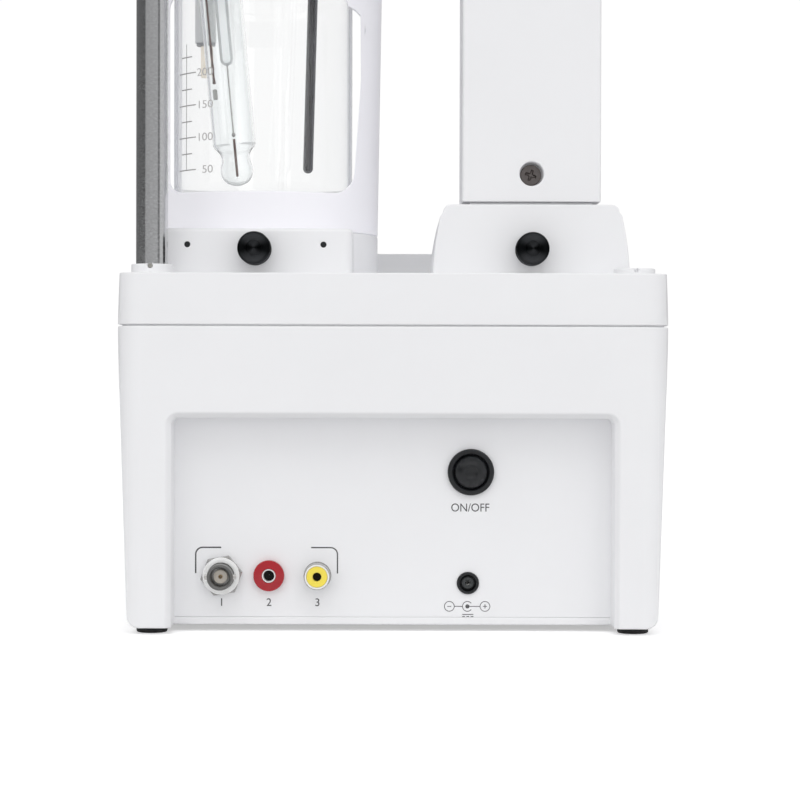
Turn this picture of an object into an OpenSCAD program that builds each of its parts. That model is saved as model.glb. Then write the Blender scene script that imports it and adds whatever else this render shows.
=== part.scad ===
// Automatic titrator: case with a console, a stirrer module, an electrode holder on a rod
// and a dispensing pump module. Lengths in mm. +X is right and +Y is towards the user,
// seen from behind the case. The origin is on the resting surface, in the case's middle.

/* [Case] */
// Width of the case at its seam
case_w = 205; // [190:1:240]
// Depth of the case
case_d = 315; // [300:1:360]
// Height of the seam between the two shells, at the back
seam_z = 114.5; // [105:0.5:130]
// Height of the upper shell over the seam, at the back
upper_h = 19.5; // [16:0.5:30]
// Wall of both shells
case_wall = 3; // [2:0.1:4]
// Radius of the upright corners
case_r = 9; // [6:0.5:15]
// Radius of the bottom edges along the sides
bottom_r = 4.5; // [2:0.5:8]
// How far each side leans in from the seam to the bottom
bottom_taper = 4; // [1:0.5:6]
// How far each side leans in from the seam to the deck
top_taper = 1; // [0.4:0.1:3]
// Gap that shows along the seam
seam_gap = 0.6; // [0.2:0.1:1.2]
// Height of the tongue that closes the seam
tongue_h = 4; // [2:0.5:6]
// Radius of the feet
foot_r = 5.8; // [4:0.1:7]
// Height of the case over the resting surface
foot_h = 2.4; // [1.5:0.1:5]
// How deep the feet are let into the floor
foot_sink = 0.8; // [0.4:0.1:1.5]
// Distance of the feet from the sides of the case
foot_side = 12.5; // [11:0.5:14]
// Distance of the feet from the back and front faces
foot_in = 12; // [9:0.5:30]
// Radius of the posts for the case screws
post_r = 5; // [4:0.5:7]
// Distance of the posts from the sides of the case
post_side = 18.5; // [14:0.5:22]
// Distance of the rear posts from the back face
post_rear_in = 48; // [40:1:70]
// Distance of the front posts from the front face
post_front_in = 22; // [14:1:40]
// How far the lower posts end below the seam
post_drop = 10; // [6:0.5:20]
// Radius of the case screws
case_screw_r = 1.75; // [1.25:0.25:2.5]
// Radius of the case screws' heads
case_screw_head_r = 3.2; // [2.5:0.1:4]
// Height of the case screws' heads
case_screw_head_h = 2.4; // [1.5:0.1:3]
// How far the case screws reach into the upper posts
case_screw_bite = 9; // [6:0.5:12]

/* [Console] */
// Height of the console's ridge over the deck
ridge_h = 14.5; // [10:0.5:25]
// Distance of the console's back wall behind the middle of the case
ridge_back = 8; // [0:1:20]
// Width of the flat strip on the ridge
ridge_flat = 8; // [6:0.5:14]
// Slope of the console
console_angle = 26; // [20:0.5:28]
// Height of the upper shell at the front face
lid_front = 22; // [16:0.5:28]
// Distance of the keypad film from the sides of the case
film_side = 9.5; // [7:0.5:20]
// Length of the keypad film down the slope
film_l = 158; // [150:1:162]
// Distance of the film from the slope's upper edge
film_in = 8; // [5:0.5:12]
// Thickness of the film and of the window
film_t = 0.5; // [0.3:0.1:1]
// Width of the display window
window_w = 122; // [100:1:130]
// Length of the display window down the slope
window_l = 92; // [70:1:96]
// Distance of the window from the film's upper edge
window_in = 6; // [4:0.5:8]
// Width of the ledge that carries the window
window_ledge = 2; // [1:0.5:3]
// Thickness of the display module
lcd_t = 9; // [6:0.5:12]
// Columns of keys under the window
key_cols = 8; // [5:1:9]
// Rows of keys under the window
key_rows = 3; // [2:1:3]
// Width of a key
key_w = 15; // [10:0.5:17]
// Length of a key down the slope
key_l = 9; // [6:0.5:12]
// Spacing of the keys sideways
key_px = 21; // [18:0.5:22]
// Spacing of the keys down the slope
key_py = 15; // [13:0.5:17]
// How far the keys stand out of the film
key_h = 0.35; // [0.2:0.05:0.6]

/* [Connector bay] */
// Distance of the bay from the sides of the case
bay_side = 20.5; // [18.5:0.5:30]
// Height of the bay's ceiling
bay_top = 80.2; // [72:0.2:90]
// Depth of the bay
bay_depth = 15; // [13:0.5:22]
// Radius of the bay's upper corners
bay_r = 2.6; // [1:0.2:5]
// Size of the slope around the bay's rim
bay_rim = 2; // [1:0.1:2.5]
// Thickness of the connector panel
panel_t = 3; // [2:0.1:4]
// Power button's place, sideways
power_x = 29.3; // [10:0.1:60]
// Power button's height
power_z = 59.9; // [45:0.1:65]
// Radius of the power button's bezel
bezel_r = 8.75; // [8:0.05:11]
// How far the bezel stands out
bezel_h = 2.2; // [1:0.1:4]
// Radius of the power button's cap
cap_r = 6.25; // [5:0.05:7]
// How far the cap stands out of the bezel
cap_out = 2.4; // [1.8:0.1:4]
// Travel of the power button
power_travel = 1.5; // [0.8:0.1:1.6]
// Supply jack's place, sideways
jack_x = 28.3; // [10:0.1:60]
// Supply jack's height
jack_z = 18.2; // [14:0.1:30]
// Radius of the supply jack
jack_r = 4.2; // [3.8:0.05:6]
// Radius of the supply jack's hole
jack_hole_r = 2.75; // [2.2:0.05:3.2]
// Radius of the supply jack's pin
jack_pin_r = 1; // [0.6:0.05:1.3]
// Height of the three measuring sockets
socket_z = 20.9; // [14:0.1:40]
// Distance of the bayonet socket from the bay's side
bnc_side = 17.8; // [12:0.1:20]
// Spacing of the bayonet and the reference socket
ref_gap = 17.8; // [16:0.1:20]
// Spacing of the reference and the temperature socket
temp_gap = 18.2; // [14:0.1:24]
// Bayonet socket's nut across its flats
bnc_nut_af = 14.6; // [13:0.1:16]
// Thickness of the bayonet socket's nut
bnc_nut_t = 3; // [2:0.1:4]
// Radius of the bayonet socket's collar in front of the nut
bnc_collar_r = 6.9; // [6.2:0.05:7.2]
// Radius of the bayonet socket's tube
bnc_r = 4.85; // [4.6:0.05:5.2]
// How far the bayonet socket stands out
bnc_l = 11.5; // [9:0.1:12.5]
// Radius of the bayonet socket's lugs
lug_r = 1; // [0.8:0.1:1.2]
// Radius of the reference socket's rim
ref_r = 5.8; // [5:0.05:7]
// How far the reference socket stands out
ref_l = 3.2; // [2.5:0.1:6]
// Radius of the reference socket's hole
ref_hole_r = 2; // [1.8:0.05:2.2]
// Radius of the temperature socket's metal tube
temp_r = 4.9; // [4.2:0.05:6]
// How far the temperature socket stands out
temp_l = 7.5; // [5:0.1:10]
// Radius of the temperature socket's insulator
temp_core_r = 3.85; // [3.2:0.05:4]
// Radius of the temperature socket's hole
temp_hole_r = 1.6; // [1.4:0.05:1.8]

/* [Boards] */
// Thickness of the boards
board_t = 1.6; // [1:0.1:2.4]
// Width of the main board
main_w = 150; // [120:1:154]
// Depth of the main board
main_d = 170; // [120:1:190]
// Height of the main board over the floor
standoff_h = 7; // [5:0.5:12]
// Height of the processor on the main board
chip_h = 6; // [3:0.5:8]
// Height of the transformer on the main board
coil_h = 18; // [12:0.5:20]
// Height of the relays on the main board
relay_h = 10; // [6:0.5:14]
// How far the sensor board reaches past the sockets, sideways
sensor_side = 10; // [8:0.5:12]
// Height of the sensor board over the sockets
sensor_up = 26; // [20:1:30]
// Height of the pump's board
pump_board_h = 42; // [30:1:44]
// Width of the data sockets
data_w = 13.1; // [12:0.1:15]
// Height of the data sockets
data_h = 6.4; // [5:0.1:8]
// Place of the data sockets towards the front
data_y = 60; // [50:1:90]
// Spacing of the data sockets
data_gap = 20; // [16:0.5:30]
// Depth of the data sockets
data_l = 14; // [10:0.5:16]
// Height of the data sockets' middle
data_z = 30; // [22:0.5:38]

/* [Rod and holder] */
// Radius of the support rod
rod_r = 6; // [5:0.25:6.5]
// Height of the rod's top
rod_top = 375; // [360:1:420]
// Distance of the rod from the side of the case
rod_side = 11.7; // [11.5:0.1:16]
// Distance of the rod from the back face
rod_in = 18; // [16:0.5:24]
// Length of the rod's socket below the deck
rod_socket = 34; // [25:1:40]
// Wall of the rod's seat
seat_wall = 1.8; // [1.4:0.1:2.4]
// Height of the rod's seat over the deck
seat_h = 3.7; // [2.5:0.1:6]
// Height of the blanking plug over the deck
plug_h = 2.5; // [1.5:0.1:4]
// Radius of the rod's set screw
set_r = 0.9; // [0.7:0.05:1.2]
// Height of the holder's plate at rest
plate_z = 272; // [270:0.5:280]
// Thickness of the holder's plate
plate_t = 6; // [4:0.5:8]
// Radius of the holder's plate
plate_r = 36; // [34:0.5:40]
// Radius of the holder's collar
collar_r = 11; // [9.5:0.25:11.5]
// Height of the holder's collar
collar_h = 24; // [18:0.5:30]
// Width of the holder's arm
arm_w = 14; // [10:0.5:18]
// Radius of the holder's clamp screw
clamp_r = 2.5; // [2:0.1:3]
// Radius of the holder's clamp knob
clamp_knob_r = 8; // [6:0.25:9]
// Length of the holder's clamp knob
clamp_knob_l = 12; // [9:0.5:15]

/* [Stirrer] */
// Distance of both modules from the middle, sideways
module_x = 52.5; // [50:0.1:54]
// Distance of both modules' rear faces from the case's back face
module_in = 27; // [24:0.5:32]
// Distance of the stirrer's axis from its rear face
stir_back = 56; // [54:0.5:60]
// Radius of the stirrer's round part
stir_r = 46.1; // [45:0.1:47]
// Half of the rear block's width
block_half = 36.9; // [32:0.1:40]
// Height of the stirrer's housing over the deck
stir_h = 18; // [16:0.5:22]
// Radius of the stirrer's plate
plat_r = 41; // [39:0.5:41.5]
// Height of the stirrer's plate over the housing
plat_h = 10; // [8:0.5:14]
// Wall of the module housings
mod_wall = 2.5; // [2:0.1:3]
// Radius of the block's corners
block_r = 3; // [2:0.25:5]
// Height of the lock screws over the deck
lock_z = 10; // [8:0.25:11]
// Radius of the lock knobs
lock_r = 6.25; // [5:0.05:7]
// Length of the lock knobs
lock_l = 11.7; // [8:0.1:14]
// Radius of the lock screws
lock_screw_r = 2.5; // [2:0.1:3]
// Thickness of the deck's tabs that hold the lock screws
tab_t = 8; // [6:0.5:9]
// Distance of the two small pins from the block's middle
pin_x = 25.9; // [18:0.1:30]
// Height of the two small pins over the deck
pin_z = 11.8; // [9:0.1:13]
// Radius of the two small pins
pin_r = 1.15; // [0.8:0.05:1.5]
// Radius of the stirrer motor
stir_motor_r = 15; // [12:0.5:18]
// Height of the stirrer motor
stir_motor_h = 13; // [10:0.5:14]
// Radius of the magnet carrier
carrier_r = 20; // [16:0.5:24]
// Height of the magnet carrier
carrier_h = 5; // [4:0.25:6]
// Radius of the magnets
magnet_r = 4; // [3:0.25:5]
// Distance of the magnets from the axis
magnet_x = 12; // [10:0.5:14]

/* [Guard and beaker] */
// Height of the guard's top rim
guard_top = 256; // [250:0.5:262]
// How much wider the guard is at the top
guard_flare = 1.6; // [0.5:0.1:2]
// Wall of the guard
guard_wall = 2.5; // [2:0.1:2.8]
// Half of the rear window's width
view_half = 35; // [28:0.5:36]
// Height of the rear window's sill over the housing
view_sill = 15; // [12:0.5:20]
// Height of the rim over the rear window
view_rim = 12; // [8:0.5:16]
// Radius of the window's corners
view_r = 5.5; // [3:0.25:8]
// Half of the front opening's width
front_half = 40; // [30:0.5:41]
// Height of the front opening's sill over the housing
front_sill = 6; // [4:0.5:10]
// Radius of the beaker
beaker_r = 36; // [34:0.25:37]
// Wall of the beaker
beaker_wall = 1.7; // [1.2:0.1:2.2]
// Floor of the beaker
beaker_floor = 2; // [1.6:0.1:2.4]
// Height of the beaker
beaker_h = 96; // [90:1:98]
// Length of the stir bar
bar_l = 15; // [12:0.5:15]
// Radius of the stir bar
bar_r = 2.4; // [2:0.1:2.5]

/* [Electrodes] */
// Electrode's lean
ph_lean = 5.4; // [4:0.1:8]
// Electrode tip's distance from the beaker's axis, sideways
ph_x = -9.3; // [-11:0.1:-8]
// Electrode's distance from the beaker's axis, towards the back
ph_back = 11; // [10.5:0.1:13]
// Height of the electrode's tip over the beaker's floor
ph_tip = 7; // [6:0.1:10]
// Radius of the electrode's body
ph_r = 8.5; // [6:0.1:9]
// Wall of the electrode's body
ph_wall = 1; // [0.6:0.05:1.5]
// Radius of the electrode's bulb
ph_bulb_r = 6.5; // [5:0.1:7]
// Height of the electrode's shoulder over its tip
ph_shoulder = 16; // [14:0.25:20]
// Length of the electrode's inner wire
ph_wire_l = 37; // [30:1:60]
// Radius of the electrode's inner tube
ph_tube_r = 2.6; // [1.5:0.1:4]
// Length of the electrode's cap
ph_cap_l = 34; // [25:0.5:45]
// Radius of the electrode's cap
ph_cap_r = 10; // [9.6:0.1:11]
// Temperature probe's lean
tp_lean = -1.5; // [-3:0.1:0]
// Probe tip's distance from the beaker's axis, sideways
tp_x = 18; // [16:0.1:19]
// Probe's distance from the beaker's axis, towards the back
tp_back = 3.5; // [0:0.5:8]
// Height of the probe's tip over the beaker's floor
tp_tip = 13; // [7:0.5:16]
// Radius of the probe
tp_r = 2; // [1.5:0.1:2.5]
// Length of the probe's cap
tp_cap_l = 28; // [20:0.5:40]
// Radius of the probe's cap
tp_cap_r = 5; // [4.5:0.1:6]
// Dosing tip's distance from the beaker's axis, sideways
dose_x = -24.8; // [-25.4:0.2:-23]
// Dosing tip's distance from the beaker's axis, towards the front
dose_y = 10; // [8:0.5:11.5]
// Height of the dosing tip's lower end
dose_z = 217; // [210:1:224]
// Length of tube under the dosing tip's flange
dose_tube_l = 12.5; // [8:0.5:16]
// Radius of the dosing tip's tube
dose_tube_r = 1.6; // [1:0.1:2]
// Radius of the dosing tip's flange
dose_flange_r = 2.7; // [2.4:0.1:3]
// Thickness of the dosing tip's flange
dose_flange_t = 1.4; // [1:0.1:2]
// Radius of the dosing tip's body
dose_r = 4; // [3.2:0.1:4.4]
// Height of the three seats over the holder's plate
boss_h = 4; // [3:0.25:6]
// Wall of the three seats
boss_wall = 3; // [2:0.1:3]

/* [Pump] */
// Half of the foot's width at the deck
pfoot_half = 37.7; // [34:0.1:40]
// Half of the foot's width at its top
pfoot_top_half = 33.6; // [31:0.1:35]
// Height of the foot
pfoot_h = 27.3; // [26:0.1:32]
// Depth of the foot
pfoot_d = 88; // [80:1:94]
// Radius of the foot's corners
pfoot_r = 4; // [3:0.25:6]
// Shadow gap between the foot and the tower
neck_h = 1; // [0.5:0.1:3]
// Half of the tower's width
tower_half = 26.4; // [25:0.1:29]
// Depth of the tower
tower_d = 40; // [39:0.5:46]
// Height of the tower
tower_h = 168; // [162:1:190]
// Height of the tower's screw over the tower's bottom
tower_screw_z = 10.6; // [9:0.1:14]
// Radius of the tower screw's recess
recess_r = 4.6; // [4:0.1:5.5]
// Depth of the tower screw's recess
recess_d = 9; // [7:0.5:9]
// Radius of the tower screw's head
tscrew_head_r = 4; // [3:0.1:4.2]
// Radius of the tower screw
tscrew_r = 2; // [1.5:0.1:2.5]
// Half of the pump motor's width
pmotor_half = 14; // [12:0.5:15]
// Height of the pump motor
pmotor_h = 22; // [18:0.5:23]
// Distance of the lead screw from the tower's rear face
lead_back = 30.5; // [29:0.25:31]
// Radius of the lead screw
lead_r = 3; // [2.6:0.1:3.5]
// Radius of the lead screw's ends
lead_end_r = 2.4; // [2:0.1:2.5]
// Radius of the guide rods
guide_r = 2.5; // [2:0.1:3]
// Distance of the guide rods from the lead screw, sideways
guide_x = 15; // [13:0.5:16]
// Plunger's stroke
stroke = 50; // [30:1:56]
// Thickness of the drive frame's plates
frame_t = 3; // [2:0.25:4]
// Height of the carriage
nut_h = 16; // [12:0.5:18]
// Half of the carriage's width
nut_half = 20; // [19:0.5:21]
// Half of the carriage arm's width
reach_half = 5; // [4:0.25:7]
// Thickness of the carriage arm
reach_t = 5; // [4:0.25:6]

/* [Burette] */
// Distance of the burette's axis in front of the tower
burette_out = 18; // [15:0.5:22]
// Radius of the burette's bore
burette_bore = 8; // [6:0.25:9]
// Wall of the burette's glass
burette_wall = 2; // [1.5:0.1:2.5]
// Length of the burette's glass
burette_l = 73; // [66:1:80]
// Length of the piston
piston_l = 8; // [6:0.5:10]
// Radius of the plunger's rod
plunger_r = 3; // [2.5:0.1:4]
// Wall of the rings that hold the burette
ring_wall = 2.5; // [2:0.1:3]
// Height of the rings that hold the burette
ring_h = 8; // [6:0.5:10]
// Half of the valve body's width
valve_half = 14; // [12:0.5:16]
// Height of the valve body
valve_h = 18; // [16:0.5:22]
// Radius of the valve's plug
valve_plug_r = 5; // [4:0.1:6]
// Radius of the valve's shaft
valve_shaft_r = 2; // [1.5:0.1:2.5]
// Radius of the valve's motor
valve_motor_r = 12; // [10:0.5:13]
// Across the flats of the valve's fittings
fitting_af = 9; // [7:0.25:10]
// Length of the valve's fittings
fitting_l = 9; // [6:0.5:12]

/* [Clearances] */
// Radial clearance of a shaft in its bore
run_fit = 0.08; // [0.02:0.01:0.1]
// Clearance between pieces that move past each other
free_gap = 0.4; // [0.3:0.05:0.8]
// Clearance around a piece that is set into another
set_fit = 0.1; // [0.05:0.01:0.2]

/* [Hidden] */
$fn = 48;
eps = 0.01;
black = [0.06, 0.06, 0.07];
white = [0.93, 0.93, 0.94];
steel = [0.7, 0.71, 0.72];
foot_x = case_w / 2 - foot_side;
post_x = case_w / 2 - post_side;
film_w = case_w - 2 * film_side;
bay_half = case_w / 2 - bay_side;
rod_x = case_w / 2 - rod_side;
deck_z = seam_z + upper_h;
ridge_z = deck_z + ridge_h;
slope_y = ridge_flat - ridge_back;
front_z = ridge_z - tan(console_angle) * (case_d / 2 - slope_y);
seam_front = front_z - lid_front;
seam_y = case_d / 2 - (seam_z - seam_front) / tan(console_angle);
floor_z = foot_h + case_wall;
back_y = -case_d / 2;
panel_y = back_y + bay_depth;
bnc_x = bnc_side - bay_half;
ref_x = bnc_x + ref_gap;
temp_x = ref_x + temp_gap;
rod_y = back_y + rod_in;
mod_y = back_y + module_in;
stir_x = -module_x;
stir_y = mod_y + stir_back;
stir_top = deck_z + stir_h;
plat_z = stir_top + plat_h;
beaker_in = plat_z + beaker_floor;
seat_r = rod_r + seat_wall;
tab_y = mod_y + mod_wall + 4;
tower_z = deck_z + pfoot_h + neck_h;
tower_y = mod_y + tower_d;
lead_y = mod_y + lead_back;
burette_y = tower_y + burette_out;
frame_z = tower_z + mod_wall;
frame_top = frame_z + frame_t + free_gap + nut_h + stroke + free_gap;
nut_z = frame_z + frame_t + free_gap;
reach_z = nut_z + (nut_h - reach_t) / 2;
burette_z = reach_z + reach_t + stroke + 1;
valve_z = burette_z + burette_l;
valve_mid = valve_z + valve_h / 2;
seat_top = plate_z + plate_t + boss_h;
ph_z = beaker_in + ph_tip;
ph_seat = (seat_top - ph_z) / cos(ph_lean);
tp_z = beaker_in + tp_tip;
tp_seat = (seat_top - tp_z) / cos(tp_lean);

// Half of the case's width at a height
function half_at(z) = z < seam_z
  ? case_w / 2 - bottom_taper * (seam_z - z) / (seam_z - foot_h)
  : case_w / 2 - top_taper * (z - seam_z) / upper_h;

// Points of a quarter circle from angle a to a + 90
function corner(x, z, r, a) = [for (i = [0:4]) [x + r * cos(a + 22.5 * i), z + r * sin(a + 22.5 * i)]];

// Height of the seam at a depth
function seam_at(y) = y < seam_y ? seam_z : seam_z - tan(console_angle) * (y - seam_y);

// A flat shape in x and z, extruded from depth y0 to y1
module along_y(y0, y1) {
  translate([0, y1, 0]) rotate([90, 0, 0]) linear_extrude(y1 - y0) children();
}

// A flat shape in y and z, extruded from x0 to x1
module along_x(x0, x1) {
  translate([x0, 0, 0]) rotate([90, 0, 90]) linear_extrude(x1 - x0) children();
}

// A cylinder along y from depth y0 to y1
module rod_y(x, z, r, y0, y1) {
  translate([x, y0, z]) rotate([-90, 0, 0]) cylinder(r = r, h = y1 - y0);
}

// A box between two corners
module box(a, b) {
  translate(a) cube(b - a);
}

// A rectangle with round corners, from its corners a and b
module round_rect(a, b, r) {
  translate([a[0] + r, a[1]]) square([b[0] - a[0] - 2 * r, b[1] - a[1]]);
  translate([a[0], a[1] + r]) square([b[0] - a[0], b[1] - a[1] - 2 * r]);
  for (x = [a[0] + r, b[0] - r], y = [a[1] + r, b[1] - r]) translate([x, y]) circle(r = r);
}

// The whole case as one block, each face moved in by t
module case_block(t) {
  zb = foot_h + t;
  k = t / cos(console_angle);
  hb = half_at(foot_h) - t;
  hs = case_w / 2 - t;
  ht = half_at(ridge_z) - t;
  br = max(bottom_r - t, 0.5);
  intersection() {
    along_y(back_y + t, -back_y - t)
      polygon(concat(corner(-hb + br, zb + br, br, 180), corner(hb - br, zb + br, br, 270),
        [[hs, seam_z], [ht, ridge_z], [-ht, ridge_z], [-hs, seam_z]]));
    along_x(-case_w, case_w)
      polygon([[back_y + t, zb], [-back_y - t, zb],
        [-back_y - t, front_z + tan(console_angle) * t - k],
        [slope_y - (k - t) / tan(console_angle), ridge_z - t],
        [t - ridge_back, ridge_z - t], [t - ridge_back, deck_z - t], [back_y + t, deck_z - t]]);
    linear_extrude(ridge_z * 2)
      round_rect([t - case_w / 2, back_y + t], [case_w / 2 - t, -back_y - t], case_r - t);
  }
}

// What lies below the seam lowered by d
module below_seam(d) {
  far = case_d;
  along_x(-case_w, case_w)
    polygon([[-far, -far], [far, -far], [far, seam_at(far) - d], [seam_y, seam_z - d], [-far, seam_z - d]]);
}

// Height at which the lower posts of one pair end
function post_top(y) = seam_at(y) - post_drop;
post_ys = [back_y + post_rear_in, -back_y - post_front_in];

module on_console() {
  translate([0, slope_y, ridge_z]) rotate([-console_angle, 0, 0]) children();
}

// The slope around the bay's rim
module bay_rim_cut() {
  x = bay_half - bay_r;
  z = bay_top - bay_r;
  far = bay_rim + 1;
  for (s = [-1, 1]) {
    translate([s * x, back_y - 1, z]) rotate([-90, 0, 0]) cylinder(r1 = bay_r + far, r2 = bay_r, h = far);
    translate([0, 0, -1]) linear_extrude(z + 1)
      polygon([[s * (x - 1), back_y - 1], [s * (bay_half + far), back_y - 1],
        [s * bay_half, back_y + bay_rim], [s * (x - 1), back_y + bay_rim]]);
  }
  along_x(-x, x)
    polygon([[back_y - 1, z - 1], [back_y - 1, bay_top + far], [back_y + bay_rim, bay_top], [back_y + bay_rim, z - 1]]);
}

module lower_case() color(white) {
  difference() {
    union() {
      difference() {
        intersection() {
          case_block(0);
          below_seam(seam_gap / 2);
        }
        case_block(case_wall);
      }
      intersection() {
        case_block(0);
        box([-bay_half - case_wall, back_y, foot_h],
          [bay_half + case_wall, panel_y, bay_top + case_wall]);
      }
      for (x = [-post_x, post_x], y = post_ys)
        translate([x, y, foot_h]) cylinder(r = post_r, h = post_top(y) - foot_h);
      for (x = [-main_w / 2 + 8, main_w / 2 - 8], y = [-main_d / 2 + 8, main_d / 2 - 8])
        translate([x, y, foot_h]) cylinder(r = 4, h = case_wall + standoff_h);
    }
    // the seam's rebate
    difference() {
      case_block(case_wall / 2);
      below_seam(tongue_h);
    }
    // the bay
    along_y(back_y - 1, panel_y)
      round_rect([-bay_half, -bay_top], [bay_half, bay_top], bay_r);
    bay_rim_cut();
    // screw wells
    for (x = [-post_x, post_x], y = post_ys) {
      translate([x, y, 0])
        cylinder(r = case_screw_head_r + 0.3, h = post_top(y) - 4);
      translate([x, y, 0])
        cylinder(r = case_screw_r + set_fit, h = post_top(y) + 1);
    }
    // seats of the feet
    for (x = [-foot_x, foot_x], y = [back_y + foot_in, -back_y - foot_in])
      translate([x, y, 0]) cylinder(r = foot_r, h = foot_h + foot_sink);
    // side openings of the data sockets
    for (y = [data_y, data_y + data_gap])
      box([case_w / 2 - 30, y - set_fit, data_z - data_h / 2 - set_fit],
        [case_w / 2 + 1, y + data_w + set_fit, data_z + data_h / 2 + set_fit]);
  }
}

module upper_case() color(white) {
  difference() {
    union() {
      difference() {
        case_block(0);
        below_seam(-seam_gap / 2);
        case_block(case_wall);
      }
      // the tongue
      difference() {
        intersection() {
          case_block(case_wall / 2 + set_fit);
          below_seam(-seam_gap / 2 - 1);
        }
        below_seam(tongue_h);
        case_block(case_wall);
      }
      // the rod's seat and socket
      for (s = [-1, 1])
        translate([s * rod_x, rod_y, deck_z - rod_socket - case_wall])
          cylinder(r = seat_r, h = rod_socket + case_wall - 1);
      translate([-rod_x, rod_y, deck_z - 1]) cylinder(r = seat_r, h = seat_h + 1);
      // posts for the case screws
      intersection() {
        case_block(1);
        for (x = [-post_x, post_x], y = post_ys)
          translate([x, y, post_top(y)]) cylinder(r = post_r, h = ridge_z);
      }
      // tabs that the modules lock to
      for (x = [-module_x, module_x])
        box([x - 8, tab_y, deck_z - 1], [x + 8, tab_y + tab_t, deck_z + lock_z + 5]);
    }
    for (s = [-1, 1])
      translate([s * rod_x, rod_y, deck_z - rod_socket])
        cylinder(r = rod_r + set_fit, h = rod_socket + seat_h + 1);
    rod_y(-rod_x, deck_z + seat_h - 0.8, set_r + set_fit / 2, rod_y - seat_r - 1, rod_y);
    for (x = [-post_x, post_x], y = post_ys)
      translate([x, y, 0])
        cylinder(r = case_screw_r + set_fit, h = post_top(y) + case_screw_bite + 1);
    for (x = [-module_x, module_x])
      rod_y(x, deck_z + lock_z, lock_screw_r + run_fit, tab_y - 1, tab_y + tab_t + 1);
    // pocket of the film and opening of the display
    on_console() {
      box([-film_w / 2 - set_fit, film_in - set_fit, -film_t - set_fit],
        [film_w / 2 + set_fit, film_in + film_l + set_fit, 5]);
      box([-window_w / 2 + window_ledge, film_in + window_in + window_ledge, -2 * case_wall],
        [window_w / 2 - window_ledge, film_in + window_in + window_l - window_ledge, 1]);
    }
  }
}

module connector_panel() color(white) {
  difference() {
    box([-bay_half - case_wall, panel_y, floor_z],
      [bay_half + case_wall, panel_y + panel_t, bay_top + case_wall]);
    rod_y(power_x, power_z, cap_r + 1.4 + set_fit, panel_y - 1, panel_y + panel_t + 1);
    rod_y(jack_x, jack_z, jack_r - 0.4 + set_fit, panel_y - 1, panel_y + panel_t + 1);
    rod_y(bnc_x, socket_z, bnc_r + 1 + set_fit, panel_y - 1, panel_y + panel_t + 1);
    rod_y(ref_x, socket_z, ref_r - 1 + set_fit, panel_y - 1, panel_y + panel_t + 1);
    rod_y(temp_x, socket_z, temp_r - 0.7 + set_fit, panel_y - 1, panel_y + panel_t + 1);
  }
}

module feet() color(black) {
  for (x = [-foot_x, foot_x], y = [back_y + foot_in, -back_y - foot_in])
    translate([x, y, 0]) cylinder(r = foot_r, h = foot_h + foot_sink);
}

module case_screws() color(steel) {
  for (x = [-post_x, post_x], y = post_ys) translate([x, y, post_top(y) - 4]) {
    translate([0, 0, -case_screw_head_h])
      difference() {
        cylinder(r = case_screw_head_r, h = case_screw_head_h);
        translate([0, 0, -1]) cylinder(r = 1.3, h = 2.4, $fn = 6);
      }
    cylinder(r = case_screw_r, h = 4 + case_screw_bite);
  }
}

module keypad_film() color([0.75, 0.78, 0.82]) on_console() {
  keys_y = film_in + window_in + window_l + 8;
  difference() {
    box([-film_w / 2, film_in, -film_t - set_fit], [film_w / 2, film_in + film_l, -set_fit]);
    box([-window_w / 2 - set_fit, film_in + window_in - set_fit, -5],
      [window_w / 2 + set_fit, film_in + window_in + window_l + set_fit, 5]);
  }
  for (c = [0:key_cols - 1], r = [0:key_rows - 1])
    translate([(c - (key_cols - 1) / 2) * key_px - key_w / 2, keys_y + r * key_py, -set_fit - eps])
      cube([key_w, key_l, key_h + eps]);
}

module display_window() color([0.1, 0.12, 0.15]) on_console() {
  box([-window_w / 2, film_in + window_in, -film_t - set_fit],
    [window_w / 2, film_in + window_in + window_l, -set_fit]);
}

module display_module() color([0.2, 0.3, 0.4]) on_console() {
  box([-window_w / 2 - 2, film_in + window_in - 2, -case_wall - lcd_t],
    [window_w / 2 + 2, film_in + window_in + window_l + 2, -case_wall]);
}

module main_board() color([0.1, 0.4, 0.2]) {
  z = floor_z + standoff_h;
  top = z + board_t;
  w = main_w / 15;
  d = main_d / 17;
  box([-main_w / 2, -main_d / 2, z], [main_w / 2, main_d / 2, top]);
  box([-3 * w, -2 * d, top - eps], [w, 2 * d, top + chip_h]);
  box([3 * w, -6 * d, top - eps], [6 * w, -2 * d, top + coil_h]);
  box([-6 * w, 3 * d, top - eps], [-2.5 * w, 6 * d, top + relay_h]);
}

module sensor_board() color([0.1, 0.4, 0.2]) {
  y = panel_y + panel_t + 4;
  box([bnc_x - sensor_side, y, floor_z], [temp_x + sensor_side, y + board_t, socket_z + sensor_up]);
}

module power_bezel() color(black) {
  difference() {
    union() {
      rod_y(power_x, power_z, bezel_r, panel_y - bezel_h, panel_y);
      rod_y(power_x, power_z, cap_r + 1.4, panel_y - eps, panel_y + panel_t + 7);
    }
    rod_y(power_x, power_z, cap_r + free_gap, panel_y - bezel_h - 1, panel_y + panel_t + 8);
  }
}

module power_button() color(black) {
  front = panel_y - bezel_h - cap_out;
  dome = 24;
  difference() {
    intersection() {
      rod_y(power_x, power_z, cap_r, front, panel_y + panel_t + 4.8);
      translate([power_x, front + dome, power_z]) sphere(r = dome, $fn = 96);
    }
    translate([power_x, front - 11.2, power_z]) sphere(r = 12, $fn = 96);
  }
}

module power_switch() color([0.15, 0.15, 0.16]) {
  y = panel_y + panel_t + 7;
  rod_y(power_x, power_z, cap_r + 1.4, y, y + 10);
  for (x = [-3, 3])
    box([power_x + x - 0.4, y + 10 - eps, power_z - 1.4], [power_x + x + 0.4, y + 16, power_z + 1.4]);
}

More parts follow.
